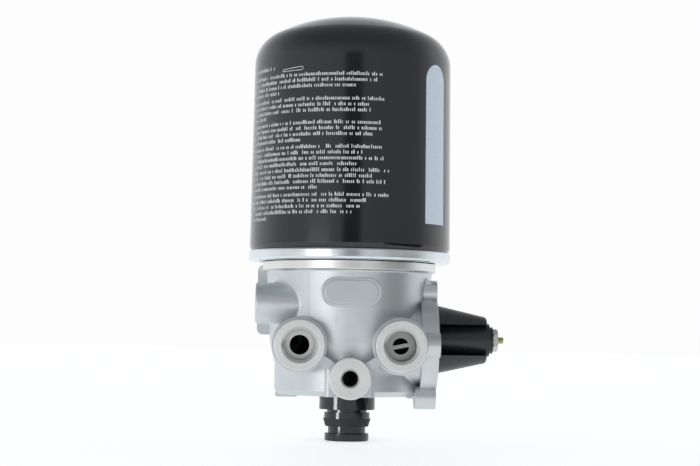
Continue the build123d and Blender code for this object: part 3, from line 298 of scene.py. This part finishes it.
slotMaterials = {
    "can_black": canPaint(),
    "zinc_sheet": zincSheet(),
    "die_cast_aluminium": castAluminium(),
    # glass-filled nylon, moulded in a fine textured tool: satin black
    "cover_plastic": mouldedPlastic("glassFilledNylon", "#232426", 0.36, 0.35, 0.03),
    # polished-tool nylon: glossy black with sharp highlights
    "vent_plastic": mouldedPlastic("polishedNylon", "#131415", 0.09, 0.9, 0.005),
    # nitrile rubber, moulded: dull black with a powdery grain
    "rubber": softMaterial("mouldedNitrileRubber", "#1F1F20", "#161617", 0.68, 0.35, 0.02),
    # yellow-passivated zinc on steel: pale straw with a green cast
    "yellow_zinc": plainMetal("yellowZincPlate", "#DAD3AE", "#BDB893", 0.3, 0.25, (0.1, 1.0, 1.0)),
    "steel_plate": plainMetal("pressedSteel", "#9A9B9C", "#7F8082", 0.38, 0.4, (1.0, 0.1, 1.0)),
    "spring_steel": plainMetal("drawnSpringWire", "#8F9093", "#75767A", 0.34, 0.15, (1.0, 1.0, 0.3)),
    "turned_aluminium": plainMetal("turnedAluminium", "#B9BAB8", "#A3A4A3", 0.34, 0.3, (1.0, 0.08, 1.0)),
    "brass": plainMetal("turnedBrass", "#C9A968", "#A98A4E", 0.3, 0.2, (1.0, 0.2, 1.0)),
    # polypropylene canister, unpigmented: milky and waxy
    "canister_plastic": mouldedPlastic("naturalPolypropylene", "#C6C5BE", 0.45, 0.5, 0.03),
    "felt": softMaterial("pressedPolyesterFelt", "#DAD8D0", "#B9B6AC", 0.92, 0.6, 0.25, 0.3),
    # molecular-sieve beads: pale balls of about 2 mm
    "desiccant": softMaterial("molecularSieveBeads", "#D9D2BF", "#8F8877", 0.8, 2.0, 0.7),
}
for subpart in frame["record"]["subparts"]:
    mesh = nodes[subpart["node"]].data
    mesh.materials.clear()
    mesh.materials.append(slotMaterials[subpart["material_slot"]])
print("materials set on the CAD nodes")


# Print on the can

levelStep = 0.2  # mm of height that count as one level
wallFrom = 60.0  # mm from the axis: what lies nearer is the dome or the inside


def canWall():
    # outermost vertices of the can, by height: the drafted wall is straight between them
    mesh = nodes["cartridge_can"].data
    points = np.empty(len(mesh.vertices) * 3, np.float32)
    mesh.vertices.foreach_get("co", points)
    points = points.reshape(-1, 3).astype(float)
    radius = np.hypot(points[:, 0], points[:, 1])
    level = np.round(points[:, 2] / (levelStep * mm)).astype(int)
    heights = np.unique(level)
    outer = np.array([radius[level == height].max() for height in heights])
    keep = outer > wallFrom * mm
    return heights[keep] * levelStep * mm, outer[keep]


wallZ, wallRadius = canWall()
printRadius = 67.5 * mm


def onCan(azimuth, z, lift):
    # point on the can: the wall's radius at height z plus the lift, azimuth from -Y towards +X
    radius = np.interp(z, wallZ, wallRadius) + lift
    return np.stack([radius * np.sin(azimuth), -radius * np.cos(azimuth), z], -1)


inkValues = dict(colour="#DDE1E4", lift=0.03, roughness=0.45)
textValues = dict(
    seed=7,
    startAzimuth=-80.0,
    drop=0.7,
    linePitch=3.75,
    letterPitch=1.28,
    barWidths=(0.55, 0.95),
    lowHeight=1.75,
    tallHeight=2.5,
    tallShare=0.28,
    gapShare=0.17,
    # each group of rows: height of the first, and the azimuths where the rows end
    paragraphs=(
        (239.9, (16.6, 12.6, 0.5, -45.6)),
        (223.8, (17.2, 8.2, 9.3, -58.3)),
        (208.3, (14.9, 16.0, 10.4, -30.7)),
        (192.5, (16.0, 6.0, 17.2, 2.1)),
        (177.3, (20.7, 11.5, 18.3, -20.0)),
        (161.4, (20.1, 7.1, 6.5, -0.1, -55.4)),
    ),
    heading=(244.9, -51.2),
)


def letterBars(rng, startAzimuth, endAzimuth, z):
    # a row of plain bars with gaps, as (left, right, bottom, top) in mm
    v = textValues
    length = math.radians(endAzimuth - startAzimuth) * printRadius / mm
    count = int(length / v["letterPitch"])
    gaps = rng.random(count) < v["gapShare"]
    left = np.arange(count) * v["letterPitch"]
    width = rng.uniform(*v["barWidths"], count)
    tall = rng.random(count) < v["tallShare"]
    keep = ~gaps
    left, width, tall = left[keep], width[keep], tall[keep]
    bottom = np.full(len(left), z)
    top = bottom + np.where(tall, v["tallHeight"], v["lowHeight"])
    return np.stack([left, left + width, bottom, top], -1), math.radians(startAzimuth)


def printPiece(material):
    # Rows of flat bars: corner (u, z) goes to azimuth start + u / radius on the can's wall
    v = textValues
    rng = np.random.default_rng(v["seed"])
    rows = [(v["startAzimuth"], v["heading"][1], v["heading"][0])]
    for topZ, ends in v["paragraphs"]:
        for index, end in enumerate(ends):
            rows.append((v["startAzimuth"], end, topZ - v["drop"] - index * v["linePitch"]))
    corners = []
    for start, end, z in rows:
        bars, origin = letterBars(rng, start, end, z)
        u = bars[:, (0, 1, 1, 0)] * mm / printRadius + origin
        height = bars[:, (2, 2, 3, 3)] * mm
        corners.append(np.stack([u, height], -1))
    corners = np.concatenate(corners)
    points = onCan(corners[..., 0], corners[..., 1], inkValues["lift"] * mm).reshape(-1, 3)
    faces = np.arange(len(points)).reshape(-1, 4)
    return meshPiece("printedCopy", points, faces, "body", material, smooth=False)


def inkMaterial(name, colour, wornColour):
    # Screen-printed ink on enamel: matt and slightly uneven in cover
    material = newMaterial(name)
    tree = material.node_tree
    place = addNode(tree, "ShaderNodeTexCoord").outputs["Object"]
    cover = addNode(tree, "ShaderNodeTexNoise", {"Vector": place, "Scale": 1000 / 1.5, "Detail": 2.0})
    share = addNode(tree, "ShaderNodeMapRange", {0: cover.outputs[0], 1: 0.35, 2: 0.75})
    mixed = addNode(tree, "ShaderNodeMix", {0: share.outputs[0], 6: linearColour(colour),
                                            7: linearColour(wornColour)}, data_type="RGBA")
    return finishMaterial(material, {"Base Color": mixed.outputs[2], "Roughness": inkValues["roughness"],
                                     "Coat Weight": 0.15})


paleInk = inkMaterial("paleScreenInk", inkValues["colour"], "#C9CDD1")
printPiece(paleInk)

stripValues = dict(colour="#D2DFEB", leftAzimuth=44.7, rightAzimuth=63.8, bottom=145.0, top=251.0, columns=41,
                   rows=33)


def labelStrip():
    # blank pale strip: z runs from the bottom to a half-round top,
    # top(s) = straight + w sqrt(1 - s^2)
    v = stripValues
    azimuth = np.radians(np.linspace(v["leftAzimuth"], v["rightAzimuth"], v["columns"]))
    half = (azimuth[-1] - azimuth[0]) / 2 * printRadius
    # columns crowd towards both edges, where the round top falls steeply
    s = -np.cos(np.linspace(0, math.pi, v["columns"]))
    azimuth = (azimuth[0] + azimuth[-1]) / 2 + s * (azimuth[-1] - azimuth[0]) / 2
    top = v["top"] * mm - half + half * np.sqrt(np.clip(1 - s * s, 0, 1))
    t = np.linspace(0, 1, v["rows"])[:, None]
    z = v["bottom"] * mm + t * (top - v["bottom"] * mm)
    points = onCan(np.broadcast_to(azimuth, z.shape), z, inkValues["lift"] * mm).reshape(-1, 3)
    faces = gridFaces(v["rows"], v["columns"])[:, ::-1]
    return meshPiece("labelStrip", points, faces, "body",
                     inkMaterial("paleBlueScreenInk", v["colour"], "#C8D6E3"))


labelStrip()

wrenchValues = dict(leftAzimuth=-45.6, rightAzimuth=-30.5, leftZ=243.6, rightZ=244.6, leftHalf=0.85, rightHalf=1.35,
                    line=0.42, sidePoints=24, capPoints=13)


def wrenchSign(material):
    # Outline of a hand tool: two straight sides that widen to the right, closed by half circles, and
    # the same outline drawn smaller by the line's width; the ring between them is the printed line
    v = wrenchValues
    halfLength = math.radians(v["rightAzimuth"] - v["leftAzimuth"]) / 2 * printRadius / mm
    centre = math.radians(v["leftAzimuth"] + v["rightAzimuth"]) / 2
    s = np.linspace(-1, 1, v["sidePoints"])[:-1]
    cap = np.linspace(-math.pi / 2, math.pi / 2, v["capPoints"])[:-1]
    rings = []
    for inset in (0.0, v["line"]):
        left, right = v["leftHalf"] - inset, v["rightHalf"] - inset
        reach = halfLength - v["rightHalf"]
        half = left + (right - left) * (s + 1) / 2
        along = np.concatenate([s * reach, reach + right * np.cos(cap), -s * reach, -reach - left * np.cos(cap)])
        up = np.concatenate([-half, right * np.sin(cap), half[::-1][:len(s)], left * np.sin(-cap)])
        rings.append(np.stack([along, up], -1))
    outline = np.stack(rings, 1)
    slope = (v["rightZ"] - v["leftZ"]) / (2 * halfLength)
    z = (v["leftZ"] + v["rightZ"]) / 2 + outline[..., 1] + outline[..., 0] * slope
    points = onCan(centre + outline[..., 0] * mm / printRadius, z * mm, inkValues["lift"] * mm)
    faces = gridFaces(len(outline), 2, closeRows=True)
    return meshPiece("wrenchSign", points.reshape(-1, 3), faces, "body", material, smooth=False)


wrenchSign(paleInk)
print("print set on the can")


# Threads

threadValues = dict(segments=72, depthShare=0.36, embed=0.06)


def innerThread(name, mount, pitch, length, material):
    # Thread ridge in a bore: point(t, w) = axis point at t/turns of the length, plus w across the
    # flank profile. t winds round the bore and climbs one pitch a turn. The profile is a flat-topped
    # ridge whose root lies just inside the metal, and its height fades to nothing at both ends.
    v = threadValues
    centre = np.array(mount["pos_m"], float)
    side, up, axis = axisFrame(mount["axis"])
    radius = mount["dims"]["r_mm"]
    turns = length / pitch - 1.0
    steps = int(turns * v["segments"])
    t = np.linspace(0, turns, steps)
    fade = np.clip(np.minimum(t, turns - t) / 0.5, 0, 1)
    depth = v["depthShare"] * pitch * fade
    offset = np.array([-0.44, -0.12, 0.12, 0.44]) * pitch
    height = np.array([0.0, 1.0, 1.0, 0.0])
    climb = (t * pitch - length / 2 + pitch / 2)[:, None] + offset[None, :] * np.maximum(fade, 0.02)[:, None]
    reach = radius + v["embed"] - depth[:, None] * height[None, :] - v["embed"] * height[None, :]
    turn = 2 * math.pi * t[:, None]
    points = centre + mm * (climb[..., None] * axis + reach[..., None] * (
        np.cos(turn)[..., None] * side + np.sin(turn)[..., None] * up))
    faces = gridFaces(steps, 4, closeColumns=True)[:, ::-1]
    caps = [[3, 2, 1, 0], [4 * steps - 4, 4 * steps - 3, 4 * steps - 2, 4 * steps - 1]]
    return meshPiece(name, points.reshape(-1, 3), faces.tolist() + caps, "body", material)


cutThread = plainMetal("cutThreadAluminium", "#D4D5D4", "#BEC0C0", 0.3, 0.2, (1.0, 1.0, 1.0))
# painted shade: port 22's thread is coloured near-black to stand for the shade deep in that port, the other threads
# keep the cut metal's colour
shadedThread = plainMetal("shadedThreadAluminium", "#4A4B4C", "#333435", 0.3, 0.2, (1.0, 1.0, 1.0))
threadPitch = 1.5  # fine metric pitch, as on all four
for name, finish in (("port_1", cutThread), ("port_21", cutThread), ("port_22", shadedThread),
                     ("rear_hole_upper", cutThread)):
    length = mounts[name]["dims"]["length_mm"]
    innerThread(name.replace("_", "") + "Thread", mounts[name], threadPitch, length, finish)
print("threads cut")


# Cast numbers and die parting lines on the valve housing

wallHeights = np.array([51.0, 66.0, 114.0]) * mm
wallRadii = np.array([49.6, 53.0, 56.0]) * mm


def onHousing(x, z, lift):
    # Front of the housing: the drafted body's radius at z plus the lift, y = -sqrt(radius^2 - x^2)
    radius = np.interp(z, wallHeights, wallRadii) + lift
    return np.stack([x, -np.sqrt(radius ** 2 - x ** 2), z], -1)


numberValues = dict(size=7.6, raised=0.45, sunk=0.5,
                    places=(("1", -9.7, 82.1), ("21", 8.5, 82.1), ("22", -0.4, 66.0)))


def castNumber(label, centreX, centreZ):
    # raised digits: flat text laid on the housing, its front lifted and its back sunk in the wall
    v = numberValues
    curve = bpy.data.curves.new("digits", "FONT")
    curve.body = label
    curve.size = v["size"]
    curve.extrude = 0.5
    curve.resolution_u = 6
    curve.align_x, curve.align_y = "CENTER", "CENTER"
    text = bpy.data.objects.new("digits", curve)
    mesh = bpy.data.meshes.new_from_object(text)
    bpy.data.objects.remove(text)
    flat = np.empty(len(mesh.vertices) * 3, np.float32)
    mesh.vertices.foreach_get("co", flat)
    flat = flat.reshape(-1, 3).astype(float)
    lift = np.where(flat[:, 2] > 0, v["raised"], -v["sunk"]) * mm
    points = onHousing((centreX + flat[:, 0]) * mm, (centreZ + flat[:, 1]) * mm, lift)
    mesh.vertices.foreach_set("co", points.reshape(-1).astype(np.float32))
    mesh.shade_flat()
    mesh.materials.clear()
    mesh.materials.append(slotMaterials["die_cast_aluminium"])
    piece = bpy.data.objects.new("castNumber" + label, mesh)
    bpy.context.scene.collection.objects.link(piece)
    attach(piece, "body")


for label, x, z in numberValues["places"]:
    castNumber(label, x, z)

# each line: name, azimuth, lower and upper end, and the wall's radius, or None on the drafted body
partingValues = dict(
    halfWidth=0.30, height=0.16, sunk=0.25, points=48,
    lines=(("bodyPartingLine", -30.1, 83.0, 113.2, None),
           ("collarPartingLine", -31.8, 114.6, 119.0, 58.6),
           ("padPartingLine", 9.6, 84.0, 89.2, None)))


def partingLine(name, azimuth, low, high, radius):
    # die flash: a ridge up the wall, height h (1 - (w / W)^2) across it, fading at both ends
    v = partingValues
    z = np.linspace(low, high, v["points"])
    w = np.array([-1.0, -0.6, 0.0, 0.6, 1.0, 1.0, -1.0])
    crest = np.array([0.0, 0.64, 1.0, 0.64, 0.0, 0.0, 0.0]) * v["height"]
    base = np.array([-0.02, 0, 0, 0, -0.02, -v["sunk"], -v["sunk"]])
    fade = np.clip(np.minimum(z - low, high - z) / 0.8, 0, 1)[:, None]
    lift = crest * fade + base
    wall = np.interp(z * mm, wallHeights, wallRadii) / mm if radius is None else np.full(len(z), radius)
    angle = math.radians(azimuth) + w * v["halfWidth"] / wall[:, None]
    reach = wall[:, None] + lift
    height = np.broadcast_to(z[:, None], reach.shape)
    points = mm * np.stack([reach * np.sin(angle), -reach * np.cos(angle), height], -1)
    faces = gridFaces(len(z), 7, closeColumns=True)[:, ::-1]
    last = 7 * (len(z) - 1)
    caps = [list(range(7)), [last + k for k in range(6, -1, -1)]]
    meshPiece(name, points.reshape(-1, 3), faces.tolist() + caps, "body",
              slotMaterials["die_cast_aluminium"])


for line in partingValues["lines"]:
    partingLine(*line)
print("cast numbers and parting lines set")


# Adjusting screw and lock nut

nutLow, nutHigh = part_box("lock_nut")
governorAxis = ((nutLow[1] + nutHigh[1]) / 2, (nutLow[2] + nutHigh[2]) / 2)  # y and z


def aroundGovernor(x, radius, angle):
    # cylindrical to Cartesian about the governor's axis, which runs along +X
    return np.stack([x, governorAxis[0] + radius * np.cos(angle), governorAxis[1] + radius * np.sin(angle)], -1)


screwValues = dict(pitch=1.25, depth=0.55, tipPitch=0.8, tipDepth=0.34, tipRadius=2.35, chamfer=0.5,
                   segments=48, step=0.09)


def adjustingScrew():
    # stud with rolled threads:
    # radius(x, angle) = crest - depth * valley(frac(x / pitch - angle / 2 pi))
    # valley rises from 0 at the crest to 1 at the root and back, flattened at both; the thin end
    # has its own finer thread, and each end is chamfered by limiting the radius near it
    v = screwValues
    low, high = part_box("adjusting_screw")
    crest = (high[2] - low[2]) / 2 / mm
    start, end = low[0] / mm, high[0] / mm
    neck = nutHigh[0] / mm
    x = np.arange(start, end, v["step"])
    x = np.append(x, end)[:, None]
    turn = np.linspace(0, 2 * math.pi, v["segments"], endpoint=False)[None, :]
    thin = x > neck
    pitch = np.where(thin, v["tipPitch"], v["pitch"])
    depth = np.where(thin, v["tipDepth"], v["depth"])
    phase = np.abs(((x / pitch - turn / (2 * math.pi)) % 1) * 2 - 1)
    valley = np.clip((phase - 0.12) / 0.7, 0, 1)
    outer = np.where(thin, v["tipRadius"], crest)
    nearEnd = np.minimum(x - start, end - x)
    limit = outer - np.clip(v["chamfer"] - nearEnd, 0, None)
    radius = np.minimum(outer - depth * valley, limit)
    points = aroundGovernor(np.broadcast_to(x, radius.shape) * mm, radius * mm, np.broadcast_to(turn, radius.shape))
    rows, columns = radius.shape
    faces = gridFaces(rows, columns, closeColumns=True)[:, ::-1].tolist()
    faces += [list(range(columns)), [rows * columns - 1 - k for k in range(columns)]]
    piece = meshPiece("threadedAdjustingScrew", points.reshape(-1, 3), faces, "body",
                      slotMaterials["yellow_zinc"])
    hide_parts("adjusting_screw")


nutValues = dict(
    flats=13.0, boreRadius=4.02, segments=96, coneAngle=30.0,
    # the profile's rings from one face to the other, in mm of a nut 3.5 mm thick
    rings=(0.0, 0.0, 0.12, 0.3, 0.6, 1.2, 2.3, 2.9, 3.2, 3.38, 3.5, 3.5))


def lockNut():
    # hexagon nut: radius(angle, s) = the smaller of half the flats / cos(angle within its side)
    # and a cone near each face, which leaves the curved bright edge of a chamfered nut; the bore
    # closes the profile
    v = nutValues
    start, end = nutLow[0] / mm, nutHigh[0] / mm
    turn = np.linspace(0, 2 * math.pi, v["segments"], endpoint=False)[None, :]
    inSide = (turn + math.pi / 6) % (math.pi / 3) - math.pi / 6
    hexagon = v["flats"] / 2 / np.cos(inSide)
    s = (np.array(v["rings"]) / v["rings"][-1] * (end - start))[:, None]
    nearFace = np.minimum(s, (end - start) - s)
    cone = v["flats"] / 2 + nearFace / math.tan(math.radians(v["coneAngle"]))
    radius = np.minimum(hexagon, cone)
    radius[0, :] = v["boreRadius"]
    radius[-1, :] = v["boreRadius"]
    x = np.broadcast_to(start + s, radius.shape)
    points = aroundGovernor(x * mm, radius * mm, np.broadcast_to(turn, radius.shape))
    faces = gridFaces(radius.shape[0], radius.shape[1], closeRows=True, closeColumns=True)[:, ::-1]
    piece = meshPiece("chamferedLockNut", points.reshape(-1, 3), faces, "body", nutZinc, smooth=False)
    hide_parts("lock_nut")


# zinc plate on a cold-formed steel nut: warm light grey, a little dull
nutZinc = plainMetal("zincPlatedNut", "#DADAD4", "#C2C2BC", 0.34, 0.3, (1.0, 1.0, 1.0))
adjustingScrew()
lockNut()
print("screw and nut set")


# Camera: at the photograph's angle, worked out from the can's outline and the ports

cameraValues = dict(distance=1.177, height=0.0733, yaw=1.7, horizonBelowCentre=99.0, roll=1.0, focalPixels=1730.0,
                    frameWidth=700.0)


def addCamera():
    # stands yaw degrees left of the front, looks at the axis, tilts up until the horizon is where it was seen
    v = cameraValues
    yaw = math.radians(v["yaw"])
    tilt = math.atan(v["horizonBelowCentre"] / v["focalPixels"])
    data = bpy.data.cameras.new("photoCamera")
    data.sensor_width = 36.0
    data.lens = data.sensor_width * v["focalPixels"] / v["frameWidth"]
    data.clip_end = 30.0
    camera = bpy.data.objects.new("photoCamera", data)
    bpy.context.scene.collection.objects.link(camera)
    camera.location = (-v["distance"] * math.sin(yaw), -v["distance"] * math.cos(yaw), v["height"])
    turn = Matrix.Rotation(-yaw, 3, "Z") @ Matrix.Rotation(math.radians(90) + tilt, 3, "X")
    camera.rotation_euler = (turn @ Matrix.Rotation(math.radians(v["roll"]), 3, "Z")).to_euler()
    bpy.context.scene.camera = camera


addCamera()


# Table, light tent and lights

tableValues = dict(colour="#F7F8F8", halfSize=6.0, glow=0.56)


def addTable():
    # Opal acrylic shooting table: a plain level plane, milky white, lit a little from below
    v = tableValues
    material = newMaterial("opalAcrylicTable")
    tree = material.node_tree
    place = addNode(tree, "ShaderNodeTexCoord").outputs["Object"]
    haze = addNode(tree, "ShaderNodeTexNoise", {"Vector": place, "Scale": 3.0, "Detail": 1.0})
    tone = addNode(tree, "ShaderNodeMapRange", {0: haze.outputs[0], 3: 0.55, 4: 0.65})
    finishMaterial(material, {"Base Color": linearColour(v["colour"]), "Roughness": tone.outputs[0],
                              "Emission Color": linearColour(v["colour"]), "Emission Strength": v["glow"]})
    side = v["halfSize"]
    mesh = bpy.data.meshes.new("shootingTable")
    mesh.from_pydata([(-side, -side, 0), (side, -side, 0), (side, side, 0), (-side, side, 0)], [], [(0, 1, 2, 3)])
    mesh.materials.append(material)
    table = bpy.data.objects.new("shootingTable", mesh)
    bpy.context.scene.collection.objects.link(table)


tentValues = dict(back=1.05, left=0.80, right=0.50, overhead=0.36, opening=0.05, openingHalfAngle=10.0,
                  openingTop=16.0, backdrop=1.0)


def addTent():
    # Light tent: brightness falls from left to right, is full behind, dim overhead and dark at its
    # opening. side = linear in the direction's x, back takes over as y passes zero, overhead as z
    # rises, and the opening is the patch about -Y where |azimuth| and elevation are both small.
    v = tentValues
    world = bpy.data.worlds.new("lightTent")
    bpy.context.scene.world = world
    world.use_nodes = True
    tree = world.node_tree
    tree.nodes.clear()
    direction = addNode(tree, "ShaderNodeTexCoord").outputs["Generated"]
    axes = addNode(tree, "ShaderNodeSeparateXYZ", {0: direction})
    x, y, z = axes.outputs
    side = addNode(tree, "ShaderNodeMapRange", {0: x, 1: -0.8, 2: 0.8, 3: v["left"], 4: v["right"]})
    behind = addNode(tree, "ShaderNodeMapRange", {0: y, 1: -0.15, 2: 0.35, 3: 0.0, 4: 1.0})
    level = addNode(tree, "ShaderNodeMix", {0: behind.outputs[0], 2: side.outputs[0], 3: v["back"]})
    above = addNode(tree, "ShaderNodeMapRange", {0: z, 1: 0.3, 2: 0.8, 3: 0.0, 4: 1.0})
    level = addNode(tree, "ShaderNodeMix", {0: above.outputs[0], 2: level.outputs[0], 3: v["overhead"]})
    sideways = addNode(tree, "ShaderNodeMath", {0: x}, operation="ABSOLUTE").outputs[0]
    limit = math.sin(math.radians(v["openingHalfAngle"]))
    narrow = addNode(tree, "ShaderNodeMapRange", {0: sideways, 1: limit * 0.75, 2: limit * 1.25, 3: 1.0, 4: 0.0})
    top = math.sin(math.radians(v["openingTop"]))
    low = addNode(tree, "ShaderNodeMapRange", {0: z, 1: top * 0.5, 2: top * 1.5, 3: 1.0, 4: 0.0})
    front = addNode(tree, "ShaderNodeMath", {0: y, 1: 0.0}, operation="LESS_THAN")
    gap = addNode(tree, "ShaderNodeMath", {0: narrow.outputs[0], 1: low.outputs[0]}, operation="MULTIPLY")
    gap = addNode(tree, "ShaderNodeMath", {0: gap.outputs[0], 1: front.outputs[0]}, operation="MULTIPLY")
    level = addNode(tree, "ShaderNodeMix", {0: gap.outputs[0], 2: level.outputs[0], 3: v["opening"]})
    tent = addNode(tree, "ShaderNodeBackground", {0: linearColour("#F3F6FA"), 1: level.outputs[0]})
    paper = addNode(tree, "ShaderNodeBackground", {0: linearColour("#FDFDFD"), 1: v["backdrop"]})
    path = addNode(tree, "ShaderNodeLightPath")
    shown = addNode(tree, "ShaderNodeMixShader", {0: path.outputs["Is Camera Ray"], 1: tent.outputs[0],
                                                  2: paper.outputs[0]})
    addNode(tree, "ShaderNodeOutputWorld", {"Surface": shown.outputs[0]})


def addLight(name, azimuth, distance, height, size, power, aimHeight=0.1):
    # an area light at an azimuth in degrees from -Y towards +X, turned to the object's axis
    light = bpy.data.lights.new(name, "AREA")
    light.shape = "RECTANGLE"
    light.size, light.size_y = size
    light.energy = power
    lamp = bpy.data.objects.new(name, light)
    bpy.context.scene.collection.objects.link(lamp)
    angle = math.radians(azimuth)
    lamp.location = (distance * math.sin(angle), -distance * math.cos(angle), height)
    direction = Vector((0, 0, aimHeight)) - lamp.location
    lamp.rotation_mode = "QUATERNION"
    lamp.rotation_quaternion = direction.to_track_quat("-Z", "Y")
    return lamp


# black card beside the casting: distance on X, then its front, back, bottom and top, in metres
cardValues = dict(x=0.30, front=-0.42, back=-0.05, bottom=0.001, top=0.115, colour="#101112", fibreScale=700.0)


def addCard():
    # only reflections see it: no camera, shadow or soft light does
    v = cardValues
    material = newMaterial("blackStudioCard")
    tree = material.node_tree
    place = addNode(tree, "ShaderNodeTexCoord").outputs["Object"]
    fibre = addNode(tree, "ShaderNodeTexNoise", {"Vector": place, "Scale": v["fibreScale"], "Detail": 2.0})
    rough = addNode(tree, "ShaderNodeMapRange", {0: fibre.outputs[0], 3: 0.85, 4: 0.95})
    finishMaterial(material, {"Base Color": linearColour(v["colour"]), "Roughness": rough.outputs[0]})
    corners = [(v["x"], v["front"], v["bottom"]), (v["x"], v["back"], v["bottom"]),
               (v["x"], v["back"], v["top"]), (v["x"], v["front"], v["top"])]
    mesh = bpy.data.meshes.new("studioCard")
    mesh.from_pydata(corners, [], [(0, 1, 2, 3)])
    mesh.materials.append(material)
    card = bpy.data.objects.new("studioCard", mesh)
    bpy.context.scene.collection.objects.link(card)
    card.visible_camera = card.visible_diffuse = card.visible_shadow = False


addTable()
addTent()
addLight("lowSoftbox", -36.0, 1.2, 0.10, (0.50, 0.16), 0.85)
addCard()
# a small strip at table height, linked to the polished vent alone, draws its upright highlight
strip = addLight("ventStrip", -47.0, 0.13, 0.018, (0.030, 0.040), 0.05, aimHeight=0.018)
strip.visible_camera = False
polished = bpy.data.collections.new("polishedParts")
polished.objects.link(nodes["vent_connector"])
polished.objects.link(nodes["vent_seal_ring"])
strip.light_linking.receiver_collection = polished
bpy.context.scene.view_settings.view_transform = "Standard"
print("table, tent, lights and camera set")
